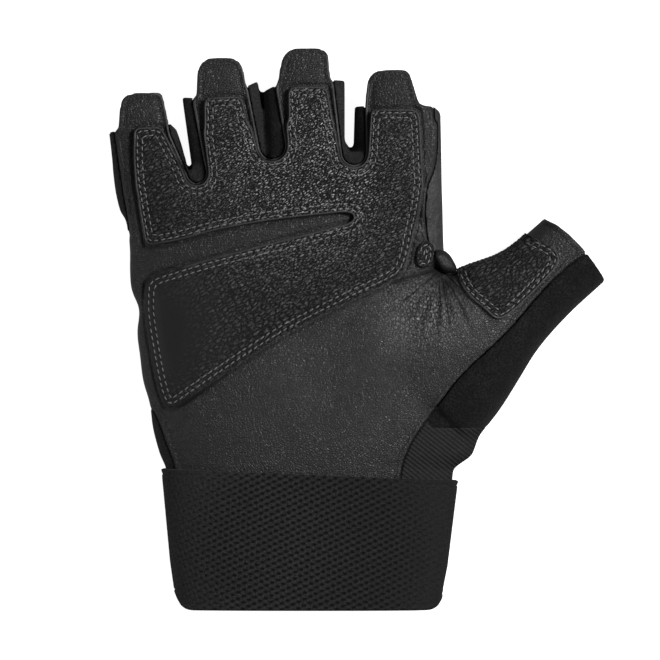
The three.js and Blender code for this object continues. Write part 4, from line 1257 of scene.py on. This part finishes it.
# Voxel sizes and rounds of smoothing
END_PITCH = 0.4
HOLLOW_VOXEL = 1.1
HOLLOW_ROUNDS = 5
FORM_ROUNDS = 10
LEATHER_FINENESS = (0.62, 3)
COVER_FINENESS = (0.42, 4)
FOLD_FINENESS = (0.35, 4)
SIDE_FINENESS = (0.42, 2)
THUMB_BACK_FINENESS = (0.6, 3)
BACK_FINENESS = (0.75, 3)
LUG_FINENESS = (0.3, 3)
STRIP_FINENESS = (0.45, 3)


# Takes bodies away from a piece and removes them.
def cut_away(piece, *tools):
    for tool in tools:
        cut(piece, tool, "DIFFERENCE")
        remove(tool)
    return piece


# The hand's bodies and plans
hand = hand_form("hand", 0, "even", FORM_VOXEL, FORM_ROUNDS, 0)
hand_with_tabs = hand_form("hand_with_tabs", 0, "tabs", FORM_VOXEL, FORM_ROUNDS, 0)
hollow = hand_form("hollow", -WALL, "open", HOLLOW_VOXEL, HOLLOW_ROUNDS, WALL)
for outline in contours(union(field(FINGER_ENDS), field(THUMB_END)), 0, END_PITCH):
    cut_away(hand, prism(outline))
for gap in FINGER_GAPS:
    cut_away(hollow, prism(contours(field(gap), WALL)[0]))
cut_away(hand_with_tabs, prism(THUMB_END))
shell = cut(copy_of(hand, "shell"), hollow, "DIFFERENCE")
shell_with_tabs = cut(copy_of(hand_with_tabs, "shell_with_tabs"), hollow, "DIFFERENCE")
above_back = beside_seam(SEAM / 2, FAR)
above_back_edge = beside_seam(-SEAM / 2, FAR)
below_front = beside_seam(-SEAM / 2, -FAR)

leather_plan, leather_outline = settled_field(leather_field())
pad_plan, pad_outline = settled_field(pad_field())
leather_prism = prism(leather_outline)
beyond_leather = prism(contours(leather_plan, SEWN_GAP)[0])


# A copy of a body cut down by others, evened out and rounded off.
def carved(body, kept, taken, fineness):
    piece = copy_of(body, "carved")
    for other in kept:
        cut(piece, other, "INTERSECT")
    for other in taken:
        cut(piece, other, "DIFFERENCE")
    voxel, rounds = fineness
    return rounded(remesh(piece, voxel), rounds)


# Small wrinkles that fan out over the ball of the thumb from the thumb crotch
CROTCH_POINT = np.array([0.43 * PALM_WIDTH, 0.665 * PALM_LENGTH])
GATHER = {
    "depth": 0.36, "broad": 23, "shift": 1.3, "narrow": 37, "share": 0.6, "drift": 0.09,
    "start": 4, "reach": 13, "clear": 3, "middle": -0.35, "spread": 1.2,
}


def gathers(points):
    offset = points[:, :2] - CROTCH_POINT
    distance = np.hypot(*offset.T)
    angle = np.arctan2(offset[:, 0], -offset[:, 1])
    narrow = np.sin(angle * GATHER["narrow"] + distance * GATHER["drift"])
    waves = np.sin(angle * GATHER["broad"] + GATHER["shift"]) + GATHER["share"] * narrow
    fade = bell(distance - GATHER["start"], GATHER["reach"]) * np.clip(distance / GATHER["clear"], 0, 1)
    return GATHER["depth"] * waves * fade * (np.abs(angle - GATHER["middle"]) < GATHER["spread"])


CROTCH_SEAM = palm_points([(0.29, 0.628), (0.335, 0.643), (0.38, 0.656), (0.43, 0.672), (0.465, 0.66)])
CROTCH_SEAM_BREADTH = 1.0
CROTCH_SEAM_DEPTH = 1.5
FRONT_FADE = 2


def groove(points, line, breadth, depth):
    distance = np.full(len(points), float(FAR))
    for start, end in zip(line[:-1], line[1:]):
        distance = np.minimum(distance, segment_distance(points[:, 0], points[:, 1], start, end))
    return -depth * bell(distance, breadth)


# The leather's rises along its own edge and the overlay's, in millimetres from the edge
EDGE_WAVES = table(
    "plan where breadth rise",
    [("leather", -0.75, 0.5, 0.45), ("leather", -1.9, 0.5, -0.2), ("overlay", 0.4, 0.55, -0.9)],
)


def palm_leather():
    piece = carved(shell_with_tabs, [above_back, leather_prism], [], LEATHER_FINENESS)
    points = points_of(piece)
    front = np.clip(normals_of(piece)[:, 2] * FRONT_FADE, 0, 1)
    edges = {"leather": sample(leather_plan, points), "overlay": sample(pad_plan, points)}
    lift = gathers(points) + groove(points, CROTCH_SEAM, CROTCH_SEAM_BREADTH, CROTCH_SEAM_DEPTH)
    for wave in EDGE_WAVES:
        lift += wave["rise"] * bell(edges[wave["plan"]] - wave["where"], wave["breadth"])
    points[:, 2] += lift * front
    set_points(piece, points)
    return piece


# How far an overlay's face stands out at a distance inside its edge: stitched down, then padded.
STITCH_ROWS = (1.15, 2.65)
FOLD_STITCH_ROWS = (1.0, 2.2)
STITCH_FURROW = 0.42
STITCH_DEPTH = 0.22
PADDING_START = 2.9
PADDING_REACH = 2
PADDING_RISE = 0.28
FACING_UP = 0.25


def overlay_profile(edge):
    sunk = sum(bell(edge - row, STITCH_FURROW) for row in STITCH_ROWS)
    return PADDING_RISE * np.clip((edge - PADDING_START) / PADDING_REACH, 0, 1) - STITCH_DEPTH * sunk


def overlay_piece(plan, outline, thickness, fineness, low):
    ground = grown(hand, "ground", SEAM)
    cover = cut_away(grown(hand, "cover", SEAM + thickness), ground)
    outline_prism = prism(outline, low)
    piece = carved(cover, [outline_prism], [], fineness)
    remove(cover, outline_prism)
    points = points_of(piece)
    normals = normals_of(piece)
    lift = overlay_profile(-sample(plan, points)) * (normals[:, 2] > FACING_UP)
    set_points(piece, points + normals * lift[:, None])
    return piece


PAD_THINNING = 0.25
FOLD_THINNING = 0.2
PALM_WAIST = PALM_HEIGHT * WAIST
THUMB_WAIST = THUMB_HEIGHT * WAIST + SEAM
palm_leather_piece = palm_leather()
pad_piece = overlay_piece(pad_plan, pad_outline, PAD_THICKNESS - PAD_THINNING, COVER_FINENESS, PALM_WAIST)
patch_plan, patch_outline = settled_field(field(softened(thumb_points(THUMB_PATCH_EDGE))))
patch_piece = overlay_piece(patch_plan, patch_outline, PATCH_THICKNESS, COVER_FINENESS, THUMB_WAIST)
fold_plan, fold_outline = settled_field(field(softened(palm_points(CROTCH_FOLD_EDGE))))
fold_piece = overlay_piece(
    fold_plan, fold_outline, FOLD_THICKNESS - FOLD_THINNING, FOLD_FINENESS, PALM_WAIST)

# The thumb's patch reaches round the crotch side of the thumb
PATCH_HUG = 0.85
patch_points = points_of(patch_piece)
towards_crotch = np.clip(-normals_of(patch_piece)[:, :2] @ THUMB_SIDE, 0, 1)
patch_points[:, :2] += PATCH_HUG * towards_crotch[:, None] * THUMB_SIDE
set_points(patch_piece, patch_points)


# Strips and panels round the sides
sides = cut(copy_of(shell, "sides"), above_back, "INTERSECT")
cut(sides, beyond_leather, "DIFFERENCE")


def between_axes(left, right, foot):
    bottom = foot * PALM_LENGTH
    outline = [
        (axis_at(left, bottom) if left else -FAR, bottom),
        (axis_at(right, bottom) if right else FAR, bottom),
        (axis_at(right, FAR) if right else FAR, FAR),
        (axis_at(left, FAR) if left else -FAR, FAR),
    ]
    return prism(outline)


def thumb_zone(growth):
    top = GUSSET_TOP * PALM_LENGTH
    crotch = np.array(THUMB_ROOT_LINE["crotch"]) * [PALM_WIDTH, PALM_LENGTH]
    outer = np.array([THUMB_ROOT_LINE["outer_across"] * PALM_WIDTH, top])
    run = (outer - crotch) / np.linalg.norm(outer - crotch)
    out = np.array([run[1], -run[0]]) * growth
    far_corner = np.array([FAR, FAR])
    slope = (far_corner - crotch) / np.linalg.norm(far_corner - crotch)
    rise = np.array([-slope[1], slope[0]]) * growth
    start = crotch + out + rise
    low = outer + out
    low[1] = top - growth
    return prism([start, low, (FAR, top - growth), far_corner + rise])


# The gusset runs on under the leather, a little higher than beside the thumb
GUSSET_RUN_ON = 2.5
GUSSET_STEP = (39.5, 41)
gusset_top = GUSSET_TOP * PALM_LENGTH
gusset_edge = [
    (0, -FAR), (FAR, -FAR), (FAR, gusset_top + SEAM), (GUSSET_STEP[1], gusset_top + SEAM),
    (GUSSET_STEP[0], gusset_top + GUSSET_RUN_ON), (0, gusset_top + GUSSET_RUN_ON),
]
thumb_room = thumb_zone(SEAM)
thumb_inside = thumb_zone(0)
front_room = cut(copy_of(beyond_leather, "front_room"), above_back_edge, "INTERSECT")
rooms = [("fourchette_" + name, between_axes(FINGERS[i], FINGERS[i + 1], FOURCHETTE_FOOT), WALL_FABRIC)
         for i, name in enumerate(["little_ring", "ring_middle", "middle_index"])]
rooms += [
    ("little_side_wall", between_axes(None, FINGERS[0], SIDE_WALL_FOOT), WALL_FABRIC),
    ("index_side_wall", between_axes(FINGERS[-1], None, SIDE_WALL_FOOT), SIDE_LEATHER),
    ("cuff_gusset", prism(gusset_edge), RIBBED),
    ("ulnar_strip", prism(rectangle(-FAR, 0, -FAR, ULNAR_TOP * PALM_LENGTH)), WALL_FABRIC),
]
side_pieces = {}
for name, room, look in rooms:
    taken = [thumb_room] if name == "index_side_wall" else []
    side_pieces[name] = (carved(sides, [room], taken, SIDE_FINENESS), look)
    remove(room)
side_pieces["thumb_back"] = (carved(shell, [thumb_inside], [front_room], THUMB_BACK_FINENESS), FABRIC)
side_pieces["back_panel"] = (carved(shell, [below_front], [thumb_room], BACK_FINENESS), FABRIC)


# Tape inside the glove's wall, behind the seams of the leather and of the back
TAPE_DEPTH = 0.45
TAPE_BACK = 0.35
TAPE_REACH = 1.4


def seam_tape():
    layer = cut_away(grown(hollow, "layer", WALL - TAPE_DEPTH), grown(hollow, "inside", TAPE_BACK))
    cut(layer, hand, "INTERSECT")
    outer_band = prism(contours(leather_plan, TAPE_REACH)[0])
    inner_band = prism(contours(leather_plan, -TAPE_REACH)[0])
    low_band = beside_seam(-TAPE_REACH, FAR)
    high_band = beside_seam(TAPE_REACH, FAR)
    tapes = []
    for kept, taken in (([outer_band, high_band], inner_band), ([low_band], high_band)):
        tape = copy_of(layer, "tape")
        for other in kept:
            cut(tape, other, "INTERSECT")
        tapes.append(cut(tape, taken, "DIFFERENCE"))
    remove(layer, outer_band, inner_band, low_band, high_band)
    return tapes


front_tape, back_tape = seam_tape()


# The lug in the thumb crotch, a leaning block with well rounded corners
LUG_ROUNDNESS = 0.72
LUG_POINTS = 36
LUG_RINGS = 22
LUG_POLE = math.pi / 2 - 0.05
LUG_TWIST = 0.55
LUG_SLOPE = 0.25


# A sine or cosine pushed out towards a square wave.
def squared(value):
    return np.sign(value) * np.abs(value) ** LUG_ROUNDNESS


def crotch_lug():
    angles = np.linspace(0, 2 * math.pi, LUG_POINTS, endpoint=False)
    rings = []
    for polar in np.linspace(-LUG_POLE, LUG_POLE, LUG_RINGS):
        radius = squared(math.cos(polar))
        along = CROTCH_TAB["length"] / 2 * radius * squared(np.sin(angles))
        across = CROTCH_TAB["breadth"] / 2 * radius * squared(np.cos(angles))
        height = CROTCH_TAB["tallness"] / 2 * squared(math.sin(polar))
        rings.append(np.stack([
            CROTCH_TAB["across"] * PALM_WIDTH + across - LUG_TWIST * along,
            CROTCH_TAB["along"] * PALM_LENGTH + along,
            CROTCH_TAB["height"] * PALM_HEIGHT + height - LUG_SLOPE * across,
        ], 1))
    lug = lofts_object("lug", [rings])
    cut_away(lug, grown(hand, "ground", SEAM), prism(contours(fold_plan, SEAM)[0]))
    voxel, rounds = LUG_FINENESS
    return rounded(remesh(lug, voxel), rounds)


side_pieces["crotch_tab"] = (crotch_lug(), SMOOTH_LEATHER)


# The wrist wrap: a woven band with a hem at each end, as one closed tube
WRAP_AROUND = 620
WRAP_ROWS = 118
WRAP_DENSE = 2000
WRAP_CORNER = 5
WRAP_END = WRAP_LENGTH - 1.3
WRAP_LEAN = 0.01
WRAP_LINING = 0.05
LINING_STEP = 4
CORNER_FADE = 3
WEAVE_PITCH = 1.75
WEAVE_FLATNESS = 0.62
WEAVE_LEAN = 0.22
WEAVE_DEPTH = 0.38
WEAVE_SHARPNESS = 1.5
GIRTH_SHARE = 0.92
HEM = 1.6
HEM_LINE = 1.3
HEM_BREADTH = 0.35
HEM_DEPTH = 0.3
LIP_SHARE = 0.3


# The lower edge of the wrap curves up at both sides.
def corner_rise(x, share):
    half = WRIST_WIDTH * WRAP_TAPER / 2
    inset = np.clip(half - np.abs(x - WRIST_ACROSS * PALM_WIDTH), 0, WRAP_CORNER)
    rise = WRAP_CORNER - np.sqrt(WRAP_CORNER**2 - (WRAP_CORNER - inset) ** 2)
    return rise * max(1 - share * CORNER_FADE, 0)


# A ring of evenly spaced points round the wrap, at a share of its length from the lower edge.
def wrap_ring(share, growth):
    y = -WRAP_END * (1 - share)
    angles = np.linspace(0, 2 * math.pi, WRAP_DENSE, endpoint=False)
    dense = wrist_ring(angles, y, growth, WRAP_SLANT * share)
    dense[:, 0] += WRAP_LEAN * y
    closed = np.vstack([dense, dense[:1]])
    run = np.concatenate([[0], np.cumsum(np.linalg.norm(np.diff(closed, axis=0), axis=1))])
    where = np.linspace(0, run[-1], WRAP_AROUND, endpoint=False)
    points = np.stack([np.interp(where, run, closed[:, axis]) for axis in range(3)], 1)
    points[:, 1] += corner_rise(points[:, 0], share)
    return points


# How deep the weave and the hem's furrow lie at a height on the wrap.
def wrap_relief(y):
    girth = np.arange(WRAP_AROUND) / WRAP_AROUND * 2 * (WRIST_WIDTH + WRIST_HEIGHT) * GIRTH_SHARE
    u = girth / WEAVE_PITCH
    v = (y + WRAP_END) / (WEAVE_PITCH * WEAVE_FLATNESS)
    rows = 0.5 + 0.5 * np.cos(2 * math.pi * (u * 0.5 + v))
    columns = 0.5 + 0.5 * np.cos(2 * math.pi * (u - v * WEAVE_LEAN))
    edge = min(y + WRAP_END, -y)
    calm = np.clip(edge - HEM, 0, 1)
    dimples = rows**2 * columns**WEAVE_SHARPNESS
    return -HEM_DEPTH * bell(edge - HEM_LINE, HEM_BREADTH) - WEAVE_DEPTH * dimples * calm


def wrist_wrap():
    shares = np.linspace(0, 1, WRAP_ROWS)
    outer = []
    for share in shares:
        points = wrap_ring(share, WRAP_THICKNESS)
        out = points - points.mean(0)
        out[:, 1] = 0
        out /= np.linalg.norm(out, axis=1)[:, None]
        outer.append(points + out * wrap_relief(-WRAP_END * (1 - share))[:, None])
    inner = [wrap_ring(share, WRAP_LINING) for share in shares[::LINING_STEP]]
    lip = np.array([0, WRAP_THICKNESS * LIP_SHARE, 0])
    low_lip = (outer[0] + inner[0]) / 2 - lip
    high_lip = (outer[-1] + inner[-1]) / 2 + lip
    rings = outer + [high_lip] + inner[::-1] + [low_lip]
    faces = []
    for row in range(len(rings)):
        faces += band(row * WRAP_AROUND, (row + 1) % len(rings) * WRAP_AROUND, WRAP_AROUND)
    return mesh_object("wrap", np.concatenate(rings), faces)


wrap_piece = wrist_wrap()


# The closing strip under the wrap, a flat piece with rounded rims
WELD_GAP = 0.01


def closing_strip():
    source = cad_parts["wrap_closure"]
    points = np.array([v.co for v in source.data.vertices]) / MM - OFFSET
    faces = [tuple(p.vertices) for p in source.data.polygons]
    piece = mesh_object("closure", points, faces)
    modifier = piece.modifiers.new("weld", "WELD")
    modifier.merge_threshold = WELD_GAP
    voxel, rounds = STRIP_FINENESS
    return rounded(remesh(settle(piece), voxel), rounds)


closure_piece = closing_strip()


# Stitches: short threads that lie in rows and dip into the leather at both ends
STITCH_LENGTH = 1.6
STITCH_PITCH = 2.15
STITCH_LENGTHS = (0.9, 1.06)
STITCH_LEANS = (0.04, 0.14)
STITCH_GAPS = (0.96, 1.04)
STITCH_SINK = 0.14
STITCH_BOW = 0.2
THREAD_RADIUS = 0.17
THREAD_END = 0.45
THREAD_SIDES = 6
THREAD_STEPS = 6
STEEPEST_STITCH = 0.15
STEEPEST_RIM = 0.3
RIM_JUMP = 0.8
RIM_SHORTEST = 5
RIM_PITCH = 0.5
ROW_STEP = 0.3
EASING_ROUNDS = 6
TAPER_START = 0.3
TAPER_STEP = 0.25


def tree_of(piece):
    points = [Vector(p) for p in points_of(piece)]
    return BVHTree.FromPolygons(points, [tuple(polygon.vertices) for polygon in piece.data.polygons])


# The point of a surface straight under a spot of the plan, and how far it faces up there.
def surface_at(tree, spot):
    hit, normal, _, _ = tree.ray_cast(Vector((spot[0], spot[1], CEILING)), Vector((0, 0, -1)))
    return (0, -1) if hit is None else (hit.z, normal.z)


# A thin round thread through its middle points.
def add_tube(points, faces, centres, sizes):
    centres = np.asarray(centres)
    first = len(points)
    angles = np.linspace(0, 2 * math.pi, THREAD_SIDES, endpoint=False)
    end = len(centres) - 1
    for i, (centre, size) in enumerate(zip(centres, sizes)):
        along = centres[min(i + 1, end)] - centres[max(i - 1, 0)]
        along /= np.linalg.norm(along)
        across = np.cross([0, 0, 1], along)
        across /= np.linalg.norm(across)
        up = np.cross(along, across)
        for angle in angles:
            points.append(centre + size * (math.cos(angle) * across + math.sin(angle) * up))
    for step in range(end):
        a = first + step * THREAD_SIDES
        faces += wall(a, a + THREAD_SIDES, THREAD_SIDES)
    last = first + end * THREAD_SIDES
    faces.append(tuple(first + i for i in range(THREAD_SIDES))[::-1])
    faces.append(tuple(last + i for i in range(THREAD_SIDES)))


def add_stitch(points, faces, tree, start, end):
    knots = (0, 0.5, 1)
    found = [surface_at(tree, start + (end - start) * share) for share in knots]
    if min(facing for _, facing in found) < STEEPEST_STITCH:
        return
    centres = []
    sizes = []
    for share in np.linspace(0, 1, THREAD_STEPS):
        bow = 1 - (2 * share - 1) ** 2
        height = np.interp(share, knots, [height for height, _ in found]) - STITCH_SINK + STITCH_BOW * bow
        centres.append([*(start + (end - start) * share), height])
        sizes.append(THREAD_RADIUS * (THREAD_END + (1 - THREAD_END) * bow**0.5))
    add_tube(points, faces, centres, sizes)


# A thin raised rim that runs along an outline, wherever the test lets it.
def rim(plan, level, piece, radius, allowed=None):
    tree = tree_of(piece)
    line = contours(plan, level, RIM_PITCH)[0]
    runs = [[]]
    for spot in np.vstack([line, line[:2]]):
        height, facing = surface_at(tree, spot)
        fits = facing > STEEPEST_RIM and (allowed is None or allowed(spot))
        if not fits or (runs[-1] and abs(runs[-1][-1][2] - height) >= RIM_JUMP):
            runs.append([])
        if fits:
            runs[-1].append([*spot, height])
    points = []
    faces = []
    for run in runs:
        if len(run) >= RIM_SHORTEST:
            add_tube(points, faces, eased_line(run), tapered(radius, len(run)))
    return mesh_object("rim", points, faces)


def eased_line(run):
    line = np.array(run, float)
    for _ in range(EASING_ROUNDS):
        line[1:-1] = (line[:-2] + 2 * line[1:-1] + line[2:]) / 4
    return line


def tapered(radius, count):
    ends = np.minimum(np.arange(count), np.arange(count)[::-1])
    return radius * np.clip(TAPER_START + ends * TAPER_STEP, 0, 1)


# Stitches in rows inside a closed outline
def stitches(plan, piece, rows):
    points = []
    faces = []
    tree = tree_of(piece)
    for row in rows:
        line = contours(plan, -row, ROW_STEP)[0]
        line = np.vstack([line, line[:1]])
        run = np.concatenate([[0], np.cumsum(np.hypot(*np.diff(line, axis=0).T))])
        place = rng.uniform(0, STITCH_PITCH)
        while place + STITCH_LENGTH < run[-1]:
            where = [place, place + STITCH_LENGTH * rng.uniform(*STITCH_LENGTHS)]
            start, end = np.stack([np.interp(where, run, line[:, axis]) for axis in (0, 1)], 1)
            lean = (end - start)[::-1] * [-1, 1]
            lean = lean / np.linalg.norm(lean) * rng.uniform(*STITCH_LEANS)
            add_stitch(points, faces, tree, start - lean, end + lean)
            place += STITCH_PITCH * rng.uniform(*STITCH_GAPS)
    return mesh_object("stitches", points, faces)


pad_threads = stitches(pad_plan, pad_piece, STITCH_ROWS)
patch_threads = stitches(patch_plan, patch_piece, STITCH_ROWS)
fold_threads = stitches(fold_plan, fold_piece, FOLD_STITCH_ROWS)

# Turned edges of the leather round the finger crotches, and of the overlays: real raised rims, coloured
# lighter as painted highlight
LEATHER_RIM = {"level": -0.55, "radius": 0.42, "reach": 1.6}
PAD_RIM = {"level": -0.3, "radius": 0.26, "foot": 64}
PATCH_RIM = {"level": -0.3, "radius": 0.3}
crotch_plan = union(*crotch_fields(0, 0))
leather_rim = rim(leather_plan, LEATHER_RIM["level"], palm_leather_piece, LEATHER_RIM["radius"],
                  lambda spot: sample(crotch_plan, spot[None])[0] < LEATHER_RIM["reach"])
pad_rim = rim(pad_plan, PAD_RIM["level"], pad_piece, PAD_RIM["radius"],
              lambda spot: spot[1] > PAD_RIM["foot"])
patch_rim = rim(patch_plan, PATCH_RIM["level"], patch_piece, PATCH_RIM["radius"])

# Everything in place
finish_piece(palm_leather_piece, "palm_leather_hide", LEATHER, "palm_leather")
finish_piece(pad_piece, "palm_overlay", OVERLAY, "palm_pad")
finish_piece(patch_piece, "thumb_overlay", OVERLAY, "thumb_patch")
finish_piece(fold_piece, "crotch_fold_leather", OVERLAY, "crotch_fold")
for name, (piece, look) in side_pieces.items():
    finish_piece(piece, name + "_panel", look, name)
finish_piece(front_tape, "seam_tape_front", FABRIC)
finish_piece(back_tape, "seam_tape_back", FABRIC)
finish_piece(wrap_piece, "wrist_wrap_band", ELASTIC, "wrist_wrap")
finish_piece(closure_piece, "wrap_closing_strip", ELASTIC, "wrap_closure")
finish_piece(leather_rim, "palm_leather_turned_edge", PAINTED_HIGHLIGHT_EDGE)
finish_piece(pad_rim, "palm_overlay_turned_edge", PAINTED_HIGHLIGHT_EDGE)
finish_piece(patch_rim, "thumb_overlay_turned_edge", PAINTED_HIGHLIGHT_EDGE)
finish_piece(pad_threads, "palm_overlay_stitches", THREAD)
finish_piece(patch_threads, "thumb_overlay_stitches", THREAD)
finish_piece(fold_threads, "crotch_fold_stitches", THREAD)
remove(hand, hand_with_tabs, hollow, shell, shell_with_tabs, above_back, above_back_edge, below_front)
remove(leather_prism, beyond_leather, sides, thumb_room, front_room, thumb_inside)


# The floor, lights and camera
FLOOR_GLOW = 0.94
FLOOR_TONE = (0.6, 0.6, 0.6)
FLOOR_ROUGHNESS = 0.8
FLOOR_GLOSS = 0.1
FLOOR_SIZE = 3.0
FLOOR_DROP = 0.0004
WHITE = (1, 1, 1, 1)
LAMPS = table(
    "name place size watts",
    [
        ("key", (0.68, 0.3, 0.78), 0.3, 12),
        ("side", (-1.1, -0.05, 0.1), 0.3, 3),
        ("low", (0.1, -0.8, 0.6), 0.6, 1.0),
    ],
)
SURROUNDINGS = 0.2


def pale(t, sockets):
    sockets["Specular IOR Level"].default_value = FLOOR_GLOSS
    sockets["Emission Color"].default_value = WHITE
    sockets["Emission Strength"].default_value = FLOOR_GLOW


def floor():
    corners = rectangle(-FLOOR_SIZE, FLOOR_SIZE, -FLOOR_SIZE, FLOOR_SIZE)
    piece = mesh_object("floor", [(x, y, 0) for x, y in corners], [(0, 1, 2, 3)])
    piece.location.z = -FLOOR_DROP
    piece.visible_diffuse = False
    piece.visible_glossy = False
    piece.data.materials.append(material("pale floor", FLOOR_TONE, FLOOR_ROUGHNESS, pale))


floor()
for row in LAMPS:
    light = bpy.data.lights.new(row["name"], "AREA")
    light.shape = "DISK"
    light.size = row["size"]
    light.energy = row["watts"]
    lamp = bpy.data.objects.new(row["name"], light)
    bpy.context.scene.collection.objects.link(lamp)
    lamp.location = row["place"]
    lamp.rotation_euler = (-Vector(row["place"])).to_track_quat("-Z", "Y").to_euler()

world = bpy.data.worlds.new("studio")
world.use_nodes = True
world.node_tree.nodes["Background"].inputs["Color"].default_value = WHITE
world.node_tree.nodes["Background"].inputs["Strength"].default_value = SURROUNDINGS
bpy.context.scene.world = world
bpy.context.scene.view_settings.view_transform = "Standard"

# The photograph is 660 pixels wide and its middle looks straight down at this point of the glove
PIXEL = 0.31
IMAGE_SIZE = 660
VIEW_HEIGHT = 3.0
SILHOUETTE_HEIGHT = 0.012
NEAR_LIMIT = 0.01
AIM = (-8.2 * MM, 0.15 * MM)
camera_data = bpy.data.cameras.new("camera")
half_view = IMAGE_SIZE * PIXEL * MM / 2
camera_data.angle = 2 * math.atan(half_view / (VIEW_HEIGHT - SILHOUETTE_HEIGHT))
camera_data.clip_start = NEAR_LIMIT
camera = bpy.data.objects.new("camera", camera_data)
camera.location = (*AIM, VIEW_HEIGHT)
bpy.context.scene.collection.objects.link(camera)
bpy.context.scene.camera = camera
